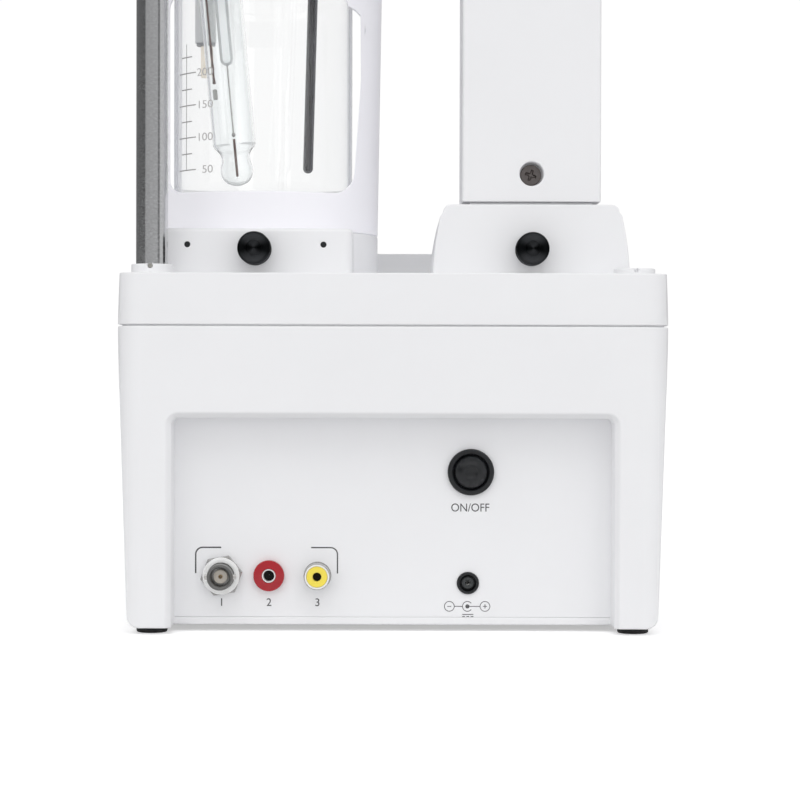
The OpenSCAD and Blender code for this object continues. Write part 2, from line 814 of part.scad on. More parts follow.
module bnc_socket() color(steel) {
  difference() {
    union() {
      translate([bnc_x, panel_y, socket_z]) rotate([90, 0, 0])
        cylinder(r = bnc_nut_af / 2 / cos(30), h = bnc_nut_t, $fn = 6);
      rod_y(bnc_x, socket_z, bnc_collar_r, panel_y - bnc_nut_t - 1.2, panel_y - bnc_nut_t + eps);
      rod_y(bnc_x, socket_z, bnc_r, panel_y - bnc_l, panel_y);
      rod_y(bnc_x, socket_z, bnc_r + 1, panel_y - eps, panel_y + panel_t + 4);
      for (s = [-1, 1])
        translate([bnc_x + s * bnc_r, panel_y - bnc_l + 3.4 * lug_r, socket_z]) rotate([0, 90, 0])
          cylinder(r = lug_r, h = 1.9 * lug_r, center = true);
    }
    rod_y(bnc_x, socket_z, bnc_r - 0.75, panel_y - bnc_l - 1, panel_y + panel_t);
  }
}

module bnc_core() color([0.85, 0.8, 0.7]) {
  difference() {
    union() {
      rod_y(bnc_x, socket_z, bnc_r - 0.75, panel_y - 1, panel_y + panel_t - set_fit);
      rod_y(bnc_x, socket_z, 1.9, panel_y - bnc_l + 4, panel_y);
    }
    rod_y(bnc_x, socket_z, 0.5, panel_y - bnc_l, panel_y - 3);
  }
}

module ref_socket() color([0.75, 0.03, 0.08]) {
  difference() {
    union() {
      rod_y(ref_x, socket_z, ref_r, panel_y - ref_l, panel_y);
      rod_y(ref_x, socket_z, ref_r - 1, panel_y - eps, panel_y + panel_t + 4);
    }
    rod_y(ref_x, socket_z, ref_hole_r + 0.5, panel_y - ref_l - 1, panel_y + panel_t + 2);
  }
}

module ref_contact() color(steel) {
  difference() {
    rod_y(ref_x, socket_z, ref_hole_r + 0.5, panel_y - ref_l + 1, panel_y + panel_t + 2);
    rod_y(ref_x, socket_z, ref_hole_r, panel_y - ref_l, panel_y + panel_t + 1);
  }
}

module temp_socket() color(steel) {
  difference() {
    union() {
      rod_y(temp_x, socket_z, temp_r, panel_y - temp_l, panel_y);
      rod_y(temp_x, socket_z, temp_r + 0.9, panel_y - 1.4, panel_y);
      rod_y(temp_x, socket_z, temp_r - 0.7, panel_y - eps, panel_y + panel_t + 4);
    }
    rod_y(temp_x, socket_z, temp_core_r, panel_y - temp_l - 1, panel_y + panel_t);
  }
}

module temp_core() color([0.9, 0.75, 0.1]) {
  difference() {
    rod_y(temp_x, socket_z, temp_core_r, panel_y - temp_l + 0.3, panel_y + panel_t);
    rod_y(temp_x, socket_z, temp_hole_r, panel_y - temp_l - 1, panel_y + panel_t - 1);
  }
}

module supply_jack() color(black) {
  difference() {
    union() {
      rod_y(jack_x, jack_z, jack_r, panel_y - 1.4, panel_y);
      rod_y(jack_x, jack_z, jack_r - 0.4, panel_y - eps, panel_y + panel_t + 9);
    }
    rod_y(jack_x, jack_z, jack_hole_r, panel_y - 2, panel_y + panel_t + 6);
  }
}

module supply_pin() color(steel) {
  rod_y(jack_x, jack_z, jack_pin_r, panel_y - 0.6, panel_y + panel_t + 6);
}

module data_sockets() color(steel) {
  out = half_at(data_z) - 0.3;
  for (y = [data_y, data_y + data_gap])
    difference() {
      box([out - data_l, y, data_z - data_h / 2], [out, y + data_w, data_z + data_h / 2]);
      box([out - data_l + 2, y + 0.5, data_z - data_h / 2 + 0.5],
        [out + 1, y + data_w - 0.5, data_z + data_h / 2 - 2.6]);
    }
}

module support_rod() color(steel) {
  translate([-rod_x, rod_y, deck_z - rod_socket]) cylinder(r = rod_r, h = rod_top - deck_z + rod_socket);
}

module rod_set_screw() color(black) {
  rod_y(-rod_x, deck_z + seat_h - 0.8, set_r - 0.05, rod_y - rod_r - seat_wall + 0.4, rod_y - rod_r - 0.02);
}

module blanking_plug() color(white) {
  translate([rod_x, rod_y, 0]) difference() {
    union() {
      translate([0, 0, deck_z]) cylinder(r = seat_r, h = plug_h);
      translate([0, 0, deck_z - 12]) cylinder(r = rod_r, h = 12 + eps);
    }
    translate([0, -seat_r - 1, deck_z + plug_h - 0.8]) rotate([-90, 0, 0]) cylinder(r = set_r, h = 3);
  }
}

// The stirrer's outline, moved in by t
module stirrer_shape(t) {
  translate([stir_x, stir_y, deck_z]) cylinder(r = stir_r - t, h = stir_h - t);
  intersection() {
    along_y(mod_y + t, stir_y)
      translate([stir_x, deck_z])
        round_rect([t - block_half, -stir_h], [block_half - t, stir_h - t], block_r);
    translate([0, 0, deck_z]) linear_extrude(stir_h)
      round_rect([stir_x - block_half + t, mod_y + t], [stir_x + block_half - t, stir_y + 9], block_r);
  }
}

module stirrer_housing() color(white) {
  difference() {
    union() {
      stirrer_shape(0);
      translate([stir_x, stir_y, stir_top - 1]) cylinder(r = plat_r, h = plat_h + 1);
    }
    stirrer_shape(mod_wall);
    translate([stir_x, stir_y, deck_z - 1]) cylinder(r = plat_r - mod_wall, h = stir_h + plat_h - mod_wall + 1);
    rod_y(stir_x, deck_z + lock_z, lock_screw_r + free_gap, mod_y - 1, mod_y + mod_wall + 1);
    for (s = [-1, 1])
      rod_y(stir_x + s * pin_x, deck_z + pin_z, pin_r + set_fit / 2, mod_y - 1, mod_y + mod_wall + 1);
  }
}

// A thumb screw along y, its knob behind the module's rear face
module lock_screw(x) {
  rod_y(x, deck_z + lock_z, lock_r, mod_y - free_gap - lock_l, mod_y - free_gap);
  rod_y(x, deck_z + lock_z, lock_screw_r, mod_y - free_gap - eps, tab_y + tab_t - 0.5);
}

module stirrer_lock() color(black) lock_screw(-module_x);

module stirrer_pins() color(black) {
  for (s = [-1, 1])
    rod_y(stir_x + s * pin_x, deck_z + pin_z, pin_r, mod_y + 0.6, mod_y + mod_wall + 4);
}

module stirrer_motor() color([0.5, 0.5, 0.52]) {
  difference() {
    translate([stir_x, stir_y, deck_z]) cylinder(r = stir_motor_r, h = stir_motor_h);
    translate([stir_x, stir_y, deck_z + 3]) cylinder(r = 1.5 + run_fit, h = stir_motor_h);
  }
}

module magnet_carrier() color([0.3, 0.3, 0.32]) {
  z = deck_z + stir_motor_h + 2;
  difference() {
    union() {
      translate([stir_x, stir_y, z]) cylinder(r = carrier_r, h = carrier_h);
      translate([stir_x, stir_y, deck_z + 3 + free_gap]) cylinder(r = 1.5, h = stir_motor_h);
    }
    for (s = [-1, 1])
      translate([stir_x + s * magnet_x, stir_y, z + 1.5]) cylinder(r = magnet_r, h = carrier_h);
  }
}

module magnets() color(steel) {
  for (s = [-1, 1])
    translate([stir_x + s * magnet_x, stir_y, deck_z + stir_motor_h + 3.5])
      cylinder(r = magnet_r, h = carrier_h - 1.5);
}

module beaker_guard() color([0.92, 0.92, 0.95]) {
  h = guard_top - stir_top;
  difference() {
    translate([stir_x, stir_y, stir_top]) cylinder(r1 = stir_r, r2 = stir_r + guard_flare, h = h);
    translate([stir_x, stir_y, stir_top - eps])
      cylinder(r1 = stir_r - guard_wall, r2 = stir_r + guard_flare - guard_wall, h = h + 2 * eps);
    along_y(mod_y - 20, stir_y)
      round_rect([stir_x - view_half, stir_top + view_sill], [stir_x + view_half, guard_top - view_rim], view_r);
    along_y(stir_y, stir_y + 2 * stir_r)
      round_rect([stir_x - front_half, stir_top + front_sill], [stir_x + front_half, guard_top + 40], view_r);
  }
}

module beaker() color([0.85, 0.9, 0.95, 0.4]) {
  translate([stir_x, stir_y, plat_z]) {
    difference() {
      cylinder(r = beaker_r, h = beaker_h);
      translate([0, 0, beaker_floor]) cylinder(r = beaker_r - beaker_wall, h = beaker_h);
    }
    difference() {
      translate([0, 0, beaker_h - 2]) cylinder(r1 = beaker_r, r2 = beaker_r + 1.6, h = 2);
      translate([0, 0, beaker_h - 3]) cylinder(r = beaker_r - beaker_wall, h = 4);
    }
  }
}

module stir_bar() color([0.95, 0.95, 0.95]) {
  z = beaker_in + free_gap + bar_r;
  translate([stir_x - bar_l / 2 + bar_r, stir_y, z]) rotate([0, 90, 0])
    cylinder(r = bar_r, h = bar_l - 2 * bar_r);
  for (s = [-1, 1]) translate([stir_x + s * (bar_l / 2 - bar_r), stir_y, z]) sphere(r = bar_r);
}

module at_ph() {
  translate([stir_x + ph_x, stir_y - ph_back, ph_z]) rotate([0, -ph_lean, 0]) children();
}

module at_probe() {
  translate([stir_x + tp_x, stir_y - tp_back, tp_z]) rotate([0, -tp_lean, 0]) children();
}

module holder_arm() color(black) {
  turn = atan2(stir_y - rod_y, stir_x + rod_x);
  reach = norm([stir_y - rod_y, stir_x + rod_x]);
  difference() {
    union() {
      translate([stir_x, stir_y, plate_z]) cylinder(r = plate_r, h = plate_t);
      translate([-rod_x, rod_y, plate_z + plate_t / 2 - collar_h / 2]) cylinder(r = collar_r, h = collar_h);
      translate([-rod_x, rod_y, plate_z]) rotate([0, 0, turn])
        translate([0, -arm_w / 2, 0]) cube([reach, arm_w, plate_t]);
      at_ph() translate([0, 0, ph_seat - boss_h - plate_t / 2])
        cylinder(r = ph_r + run_fit + boss_wall, h = boss_h + plate_t / 2);
      at_probe() translate([0, 0, tp_seat - boss_h - plate_t / 2])
        cylinder(r = tp_r + run_fit + boss_wall, h = boss_h + plate_t / 2);
      translate([stir_x + dose_x, stir_y + dose_y, plate_z])
        cylinder(r = dose_r + boss_wall, h = plate_t + boss_h);
    }
    at_ph() cylinder(r = ph_r + run_fit, h = 2 * ph_seat);
    at_probe() cylinder(r = tp_r + run_fit, h = 2 * tp_seat);
    translate([stir_x + dose_x, stir_y + dose_y, 0]) cylinder(r = dose_r + set_fit, h = 2 * plate_z);
    translate([-rod_x, rod_y, 0]) cylinder(r = rod_r + run_fit, h = 2 * rod_top);
    translate([-rod_x, rod_y, plate_z + plate_t / 2]) rotate([0, 90, 0])
      cylinder(r = clamp_r + run_fit, h = collar_r + 2);
  }
}

module holder_knob() color(black) {
  start = collar_r + 6;
  translate([-rod_x, rod_y, plate_z + plate_t / 2]) rotate([0, 90, 0]) {
    translate([0, 0, rod_r + free_gap]) cylinder(r = clamp_r, h = start - rod_r);
    translate([0, 0, start]) cylinder(r = clamp_knob_r, h = clamp_knob_l);
  }
}

module ph_glass() color([0.85, 0.9, 0.92, 0.5]) at_ph() {
  neck = ph_bulb_r * 0.86;
  difference() {
    union() {
      translate([0, 0, ph_bulb_r]) sphere(r = ph_bulb_r, $fn = 64);
      translate([0, 0, ph_bulb_r]) cylinder(r = neck, h = ph_shoulder - ph_bulb_r - 4);
      translate([0, 0, ph_shoulder - 5]) cylinder(r1 = neck, r2 = ph_r, h = 5);
      translate([0, 0, ph_shoulder]) cylinder(r = ph_r, h = ph_seat - ph_shoulder + 6);
    }
    translate([0, 0, ph_bulb_r]) sphere(r = ph_bulb_r - ph_wall, $fn = 64);
    translate([0, 0, ph_bulb_r]) cylinder(r = neck - ph_wall, h = ph_shoulder);
    translate([0, 0, ph_shoulder]) cylinder(r = ph_r - ph_wall, h = ph_seat);
  }
}

module ph_inner() color([0.6, 0.6, 0.55]) at_ph() {
  translate([0, 0, ph_shoulder - 3]) cylinder(r = 0.5, h = ph_wire_l);
  translate([0, 0, ph_shoulder + ph_wire_l - 4])
    cylinder(r = ph_tube_r, h = ph_seat - ph_shoulder - ph_wire_l + 10);
}

module ph_cap() color(black) at_ph() {
  difference() {
    union() {
      translate([0, 0, ph_seat]) cylinder(r = ph_r + boss_wall, h = 4);
      translate([0, 0, ph_seat]) cylinder(r = ph_cap_r, h = ph_cap_l);
      translate([0, 0, ph_seat + ph_cap_l - eps]) cylinder(r1 = ph_cap_r * 0.7, r2 = ph_cap_r * 0.45, h = 10);
    }
    translate([0, 0, ph_seat - 1]) cylinder(r = ph_r + set_fit / 2, h = 7);
  }
}

module temp_probe() color([0.2, 0.2, 0.22]) at_probe() {
  translate([0, 0, tp_r]) sphere(r = tp_r);
  translate([0, 0, tp_r]) cylinder(r = tp_r, h = tp_seat - tp_r + 6);
}

module temp_cap() color(black) at_probe() {
  difference() {
    union() {
      translate([0, 0, tp_seat]) cylinder(r = tp_cap_r, h = tp_cap_l);
      translate([0, 0, tp_seat + tp_cap_l - eps]) cylinder(r1 = tp_cap_r * 0.8, r2 = tp_cap_r * 0.5, h = 8);
    }
    translate([0, 0, tp_seat - 1]) cylinder(r = tp_r + set_fit / 2, h = 7);
  }
}

module dosing_tip() color([0.9, 0.92, 0.95]) {
  top = plate_z + plate_t + boss_h;
  body_z = dose_z + dose_tube_l + dose_flange_t;
  translate([stir_x + dose_x, stir_y + dose_y, 0]) {
    translate([0, 0, dose_z]) cylinder(r = dose_tube_r, h = dose_tube_l + eps);
    translate([0, 0, dose_z + dose_tube_l]) cylinder(r = dose_flange_r, h = dose_flange_t + eps);
    translate([0, 0, body_z]) cylinder(r = dose_r, h = top - body_z + eps);
    translate([0, 0, top]) cylinder(r = dose_r + 2, h = 8, $fn = 6);
    translate([0, 0, top + 8 - eps]) cylinder(r = dose_r - 1, h = 8);
  }
}

// Side of the pump's foot: half of its width at a share f of its height
function foot_half(f) = pfoot_half - (pfoot_half - pfoot_top_half) * f + 0.7 * sin(180 * f);

module foot_shape(t) {
  top = pfoot_h - t;
  intersection() {
    along_y(mod_y + t, mod_y + pfoot_d - t)
      translate([module_x, deck_z])
        polygon(concat(
          [for (i = [0:5]) [foot_half(i / 6) - t, i / 6 * pfoot_h]],
          corner(pfoot_top_half - t - 3, top - 3, 3, 0),
          corner(3 + t - pfoot_top_half, top - 3, 3, 90),
          [for (i = [5:-1:0]) [t - foot_half(i / 6), i / 6 * pfoot_h]]));
    translate([0, 0, deck_z - 1]) linear_extrude(pfoot_h + 2)
      round_rect([module_x - pfoot_half - 2, mod_y + t], [module_x + pfoot_half + 2, mod_y + pfoot_d - t], pfoot_r);
  }
}

module pump_foot() color(white) {
  difference() {
    union() {
      foot_shape(0);
      box([module_x - tower_half + 3, mod_y + 3, deck_z + pfoot_h - 1],
        [module_x + tower_half - 3, tower_y - 3, tower_z]);
    }
    foot_shape(mod_wall);
    rod_y(module_x, deck_z + lock_z, lock_screw_r + free_gap, mod_y - 1, mod_y + mod_wall + 1);
    translate([module_x, lead_y, deck_z]) cylinder(r = lead_r + 1, h = pfoot_h + neck_h + 1);
  }
}

module pump_lock() color(black) lock_screw(module_x);

module pump_housing() color(white) {
  screw_z = tower_z + tower_screw_z;
  difference() {
    union() {
      difference() {
        translate([0, 0, tower_z]) linear_extrude(tower_h) difference() {
          round_rect([module_x - tower_half, mod_y], [module_x + tower_half, tower_y + 4], 1.2);
          translate([0, tower_y - mod_wall]) square([2 * case_w, 40]);
        }
        box([module_x - tower_half + mod_wall, mod_y + mod_wall, tower_z + mod_wall],
          [module_x + tower_half - mod_wall, tower_y + 5, tower_z + tower_h - mod_wall]);
      }
      rod_y(module_x, screw_z, recess_r + 1.6, mod_y + 1, mod_y + recess_d + mod_wall);
    }
    rod_y(module_x, screw_z, recess_r, mod_y - 1, mod_y + recess_d);
    rod_y(module_x, screw_z, tscrew_r + set_fit, mod_y, mod_y + recess_d + mod_wall + 1);
    translate([module_x, lead_y, tower_z - 1]) cylinder(r = lead_r + 1, h = mod_wall + 2);
  }
}

module pump_cover() color(white) {
  y = tower_y - mod_wall;
  difference() {
    box([module_x - tower_half, y, tower_z], [module_x + tower_half, tower_y, tower_z + tower_h]);
    box([module_x - reach_half - free_gap, y - 1, reach_z - free_gap],
      [module_x + reach_half + free_gap, tower_y + 1, reach_z + reach_t + stroke + free_gap]);
    rod_y(module_x, valve_mid, valve_shaft_r + free_gap, y - 1, tower_y + 1);
  }
}

module tower_screw() color([0.25, 0.22, 0.2]) {
  z = tower_z + tower_screw_z;
  y = mod_y + recess_d;
  difference() {
    rod_y(module_x, z, tscrew_head_r, y - 2.4, y);
    for (a = [0, 90])
      translate([module_x, y - 2.4, z]) rotate([0, a + 20, 0]) cube([4.2, 2.4, 0.9], center = true);
  }
  rod_y(module_x, z, tscrew_r, y - eps, y + mod_wall + frame_t);
}

module pump_motor() color([0.2, 0.2, 0.22]) {
  top = deck_z + pfoot_h - mod_wall;
  difference() {
    box([module_x - pmotor_half, lead_y - pmotor_half, top - pmotor_h],
      [module_x + pmotor_half, lead_y + pmotor_half, top]);
    translate([module_x, lead_y, top - 12]) cylinder(r = lead_end_r + run_fit, h = 13);
  }
}

module drive_frame() color(steel) {
  back = mod_y + recess_d + mod_wall;
  x0 = module_x - tower_half + mod_wall;
  difference() {
    union() {
      box([x0, back, frame_z], [2 * module_x - x0, back + frame_t, frame_top + frame_t]);
      box([x0, back, frame_z], [2 * module_x - x0, tower_y - mod_wall, frame_z + frame_t]);
      box([x0, back, frame_top], [2 * module_x - x0, tower_y - mod_wall, frame_top + frame_t]);
    }
    rod_y(module_x, tower_z + tower_screw_z, tscrew_r + set_fit, back - 1, back + frame_t + 1);
    translate([module_x, lead_y, frame_z - 1]) cylinder(r = lead_r + run_fit, h = frame_t + 2);
    translate([module_x, lead_y, frame_top - 1]) cylinder(r = lead_end_r + run_fit, h = frame_t + 2);
  }
}

module guide_rods() color(steel) {
  for (s = [-1, 1]) translate([module_x + s * guide_x, lead_y, frame_z + frame_t])
    cylinder(r = guide_r, h = frame_top - frame_z - frame_t);
}

module lead_screw() color([0.75, 0.75, 0.76]) {
  top = deck_z + pfoot_h - mod_wall;
  translate([module_x, lead_y, 0]) {
    translate([0, 0, top - 12 + free_gap]) cylinder(r = lead_end_r, h = frame_top + frame_t - top + 12 - free_gap);
    translate([0, 0, top + free_gap]) cylinder(r = lead_r, h = frame_top - free_gap - top - free_gap);
  }
}

module carriage() color([0.3, 0.32, 0.35]) {
  back = mod_y + recess_d + mod_wall + frame_t;
  front = tower_y - mod_wall;
  difference() {
    union() {
      box([module_x - nut_half, back + free_gap, nut_z], [module_x + nut_half, front - free_gap, nut_z + nut_h]);
      box([module_x - reach_half, front - 1, reach_z], [module_x + reach_half, burette_y, reach_z + reach_t]);
      translate([module_x, burette_y, reach_z]) cylinder(r = plunger_r + 4, h = reach_t);
    }
    translate([module_x, lead_y, nut_z - 1]) cylinder(r = lead_r + run_fit, h = nut_h + 2);
    for (s = [-1, 1])
      translate([module_x + s * guide_x, lead_y, nut_z - 1]) cylinder(r = guide_r + run_fit, h = nut_h + 2);
  }
}

module plunger() color([0.9, 0.9, 0.9]) {
  translate([module_x, burette_y, 0]) {
    translate([0, 0, reach_z + reach_t]) cylinder(r = plunger_r, h = stroke + 5 + eps);
    translate([0, 0, reach_z + reach_t]) cylinder(r = plunger_r + 2, h = 3);
    translate([0, 0, reach_z + reach_t + stroke + 5]) cylinder(r = burette_bore - run_fit, h = piston_l);
  }
}

module burette_barrel() color([0.85, 0.9, 0.95, 0.4]) {
  translate([module_x, burette_y, burette_z]) difference() {
    cylinder(r = burette_bore + burette_wall, h = burette_l);
    translate([0, 0, -1]) cylinder(r = burette_bore, h = burette_l + 2);
  }
}

module burette_rings() color(white) {
  r = burette_bore + burette_wall + set_fit;
  for (z = [burette_z, valve_z - ring_h])
    translate([module_x, burette_y, z]) difference() {
      union() {
        cylinder(r = r + ring_wall, h = ring_h);
        translate([-r, tower_y - burette_y, 0]) cube([2 * r, burette_out, ring_h]);
      }
      translate([0, 0, -1]) cylinder(r = r, h = ring_h + 2);
    }
}

module valve_body() color([0.93, 0.93, 0.9]) {
  front = burette_y + valve_half;
  difference() {
    box([module_x - valve_half, tower_y, valve_z], [module_x + valve_half, front, valve_z + valve_h]);
    rod_y(module_x, valve_mid, valve_shaft_r + run_fit, tower_y - 1, burette_y);
    rod_y(module_x, valve_mid, valve_plug_r + run_fit, burette_y - valve_plug_r - 3 - free_gap, front + 1);
    translate([module_x, burette_y, valve_z - 1]) cylinder(r = 1.2, h = valve_h / 2);
    translate([module_x - valve_half - 1, burette_y, valve_mid]) rotate([0, 90, 0])
      cylinder(r = 1.2, h = 2 * valve_half + 2);
  }
}

module valve_rotor() color([0.2, 0.3, 0.5]) {
  front = burette_y + valve_half;
  rod_y(module_x, valve_mid, valve_shaft_r, tower_y - 14, burette_y);
  rod_y(module_x, valve_mid, valve_plug_r, burette_y - valve_plug_r - 3, front + 1);
  box([module_x - 1.2, front + 1 - eps, valve_mid - valve_plug_r], [module_x + 1.2, front + 4, valve_mid + valve_plug_r]);
}

module valve_fittings() color([0.3, 0.3, 0.32]) {
  for (s = [-1, 1]) translate([module_x + s * valve_half, burette_y, valve_mid]) rotate([0, s * 90, 0])
    difference() {
      union() {
        cylinder(r = fitting_af / 2 / cos(30), h = fitting_l, $fn = 6);
        translate([0, 0, fitting_l - eps]) cylinder(r = fitting_af / 3, h = 4);
      }
      translate([0, 0, -1]) cylinder(r = 1.2, h = fitting_l + 6);
    }
}

module valve_motor() color([0.5, 0.5, 0.52]) {
  y = tower_y - mod_wall;
  difference() {
    rod_y(module_x, valve_mid, valve_motor_r, y - 22, y);
    rod_y(module_x, valve_mid, valve_shaft_r + run_fit, y - 13, y + 1);
  }
}

module pump_board() color([0.1, 0.4, 0.2]) {
  y = mod_y + mod_wall;
  z = frame_top + frame_t + 6;
  box([module_x - tower_half + 5, y, z], [module_x + tower_half - 5, y + board_t, z + pump_board_h]);
  box([module_x - 8, y + board_t - eps, z + 10], [module_x + 8, y + board_t + 3, z + 26]);
}

lower_case();
upper_case();
connector_panel();
feet();
case_screws();
keypad_film();
display_window();
display_module();
main_board();
sensor_board();
power_bezel();
power_button();
power_switch();
bnc_socket();
bnc_core();
ref_socket();
ref_contact();
temp_socket();
temp_core();
supply_jack();
supply_pin();
data_sockets();
support_rod();
rod_set_screw();
blanking_plug();
stirrer_housing();
stirrer_lock();
stirrer_pins();
stirrer_motor();
magnet_carrier();
magnets();
beaker_guard();
beaker();
stir_bar();
holder_arm();
holder_knob();
ph_glass();
ph_inner();
ph_cap();
temp_probe();
temp_cap();
dosing_tip();
pump_foot();
pump_lock();
pump_housing();
pump_cover();
tower_screw();
pump_motor();
drive_frame();
guide_rods();
lead_screw();
carriage();
plunger();
burette_barrel();
burette_rings();
valve_body();
valve_rotor();
valve_fittings();
valve_motor();
pump_board();
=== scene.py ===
from math import atan2, cos, pi, radians, sin

import bpy
from mathutils import Matrix, Vector


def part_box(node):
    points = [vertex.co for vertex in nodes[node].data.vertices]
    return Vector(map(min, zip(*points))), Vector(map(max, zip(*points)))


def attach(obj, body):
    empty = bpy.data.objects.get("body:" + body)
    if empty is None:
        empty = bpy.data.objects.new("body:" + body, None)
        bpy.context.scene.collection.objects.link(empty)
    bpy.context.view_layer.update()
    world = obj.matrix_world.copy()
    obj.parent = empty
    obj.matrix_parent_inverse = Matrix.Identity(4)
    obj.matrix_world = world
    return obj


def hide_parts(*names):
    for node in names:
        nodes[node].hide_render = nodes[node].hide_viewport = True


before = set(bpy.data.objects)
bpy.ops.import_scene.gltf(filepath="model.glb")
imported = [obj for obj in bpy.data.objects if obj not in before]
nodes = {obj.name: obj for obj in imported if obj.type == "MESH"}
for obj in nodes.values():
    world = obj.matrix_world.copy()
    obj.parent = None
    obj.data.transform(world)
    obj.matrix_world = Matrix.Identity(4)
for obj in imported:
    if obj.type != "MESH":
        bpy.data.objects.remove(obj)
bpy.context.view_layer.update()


# ---------------------------------------------------------------- Studio
# A pale floor in a bright room, one broad soft light from the camera's side and from
# above, and light thrown back from both sides. The camera stands low, behind the sockets.
camera_data = bpy.data.cameras.new("camera")
camera_data.lens = 108
camera_data.sensor_width = 36
camera_data.clip_end = 60
camera = bpy.data.objects.new("camera", camera_data)
bpy.context.scene.collection.objects.link(camera)
camera.matrix_world = (
    Matrix.Translation((0, -1.0435, 0.0963))
    @ Matrix.Rotation(radians(-0.167), 4, "Z")
    @ Matrix.Rotation(radians(90 - 0.597), 4, "X")
    @ Matrix.Rotation(radians(0.15), 4, "Z")
)
bpy.context.scene.camera = camera
bpy.context.scene.view_settings.view_transform = "Standard"
bpy.context.scene.view_settings.look = "None"


def put(node, values):
    """Writes values into the inputs of a shader node."""
    for socket, value in values.items():
        node.inputs[socket].default_value = value


def add_node(tree, kind, values=(), **settings):
    """A new shader node with its settings and the values of its inputs."""
    node = tree.nodes.new("ShaderNode" + kind)
    for setting, value in settings.items():
        setattr(node, setting, value)
    put(node, dict(values))
    return node


def wire(tree, *links):
    """Links shader nodes: each link is a node and its output, a node and its input."""
    for source, leaving, target, entering in links:
        tree.links.new(source.outputs[leaving], target.inputs[entering])


def fill_ramp(ramp, stops, blueness):
    """Sets the greys of a colour ramp, each a place and a value."""
    while len(ramp.elements) < len(stops):
        ramp.elements.new(0.5)
    for stop, (place, value) in zip(ramp.elements, stops):
        stop.position = place
        stop.color = (value, value, value * blueness, 1)


def new_material(name):
    """An empty material, its node tree and its shader."""
    material = bpy.data.materials.new(name)
    material.use_nodes = True
    return material, material.node_tree, material.node_tree.nodes["Principled BSDF"]


# the room: white where it is looked at, and with grey and bright strips round it that
# only the shine on a surface shows, as the flags and softboxes beside a product do
room = bpy.data.worlds.new("room")
room.use_nodes = True
tree = room.node_tree
tree.nodes.clear()
out = add_node(tree, "OutputWorld")
even, seen, shine, through = [add_node(tree, "Background") for _ in range(4)]
put(even, {"Color": (1, 1, 1, 1), "Strength": 0.49})
put(seen, {"Color": (1, 1, 1, 1), "Strength": 1.02})
around = add_node(tree, "TexCoord")
split = add_node(tree, "SeparateXYZ")
back = add_node(tree, "Math", {1: -1}, operation="MULTIPLY")
turn = add_node(tree, "Math", operation="ARCTAN2")
share = add_node(tree, "MapRange", {"From Min": -pi, "From Max": pi})
strips = add_node(tree, "ValToRGB")
stops = [
    (0.0, 0.22), (0.372, 0.13), (0.378, 0.46), (0.628, 0.52), (0.634, 0.2), (0.668, 0.2), (0.676, 0.72),
    (0.85, 0.66), (0.862, 0.25), (1.0, 0.22)
]
fill_ramp(strips.color_ramp, stops, 1.01)
# what glass shows: white straight through it, grey from the sides
sides = add_node(tree, "ValToRGB")
stops = [(0.0, 1.0), (0.13, 1.0), (0.2, 0.75), (0.27, 0.5), (0.5, 0.62), (0.73, 0.5), (0.8, 0.75), (0.87, 1.0)]
fill_ramp(sides.color_ramp, stops, 1.0)
above = add_node(tree, "MapRange", {"From Min": 0.35, "From Max": 0.62})
overhead = add_node(tree, "Mix", {"B": (1, 1, 1, 1)}, data_type="RGBA")
path = add_node(tree, "LightPath")
either = add_node(tree, "Math", operation="MAXIMUM")
first, second, third = [add_node(tree, "MixShader") for _ in range(3)]
wire(
    tree, (around, "Generated", split, 0), (split, "Y", back, 0), (split, "X", turn, 0), (back, 0, turn, 1),
    (turn, 0, share, "Value"), (share, 0, strips, 0), (share, 0, sides, 0), (sides, 0, through, "Color"),
    (split, "Z", above, "Value"), (above, 0, overhead, "Factor"), (strips, 0, overhead, "A"),
    (overhead, "Result", shine, "Color"), (path, "Is Glossy Ray", first, 0), (even, 0, first, 1),
    (shine, 0, first, 2), (path, "Is Transmission Ray", either, 0), (path, "Is Singular Ray", either, 1),
    (either, 0, second, 0), (first, 0, second, 1), (through, 0, second, 2), (path, "Is Camera Ray", third, 0),
    (second, 0, third, 1), (seen, 0, third, 2), (third, 0, out, "Surface")
)
bpy.context.scene.world = room


def lamp(name, kind, place, aim, power):
    """A studio light that fills without showing in the shine of a surface."""
    data = bpy.data.lights.new(name, kind)
    data.energy = power
    piece = bpy.data.objects.new(name, data)
    bpy.context.scene.collection.objects.link(piece)
    piece.location = place
    piece.rotation_euler = (Vector(aim) - Vector(place)).to_track_quat("-Z", "Y").to_euler()
    piece.visible_glossy = False
    return data


key = lamp("key_light", "SUN", (0, -1.8, 3.2), (0, 0, 0), 0.78)
key.angle = radians(50)
fill = lamp("fill_light", "AREA", (0, -2.6, 0.35), (0, 0, 0.15), 3.0)
fill.shape = "RECTANGLE"
fill.size, fill.size_y = 3.2, 1.4
for side in (-1, 1):
    bounce = lamp("bounce_light_%d" % (side > 0), "SUN", (2.0 * side, -2.0, 0.9), (0, 0, 0), 0.67)
    bounce.angle = radians(60)
    bounce.use_shadow = False

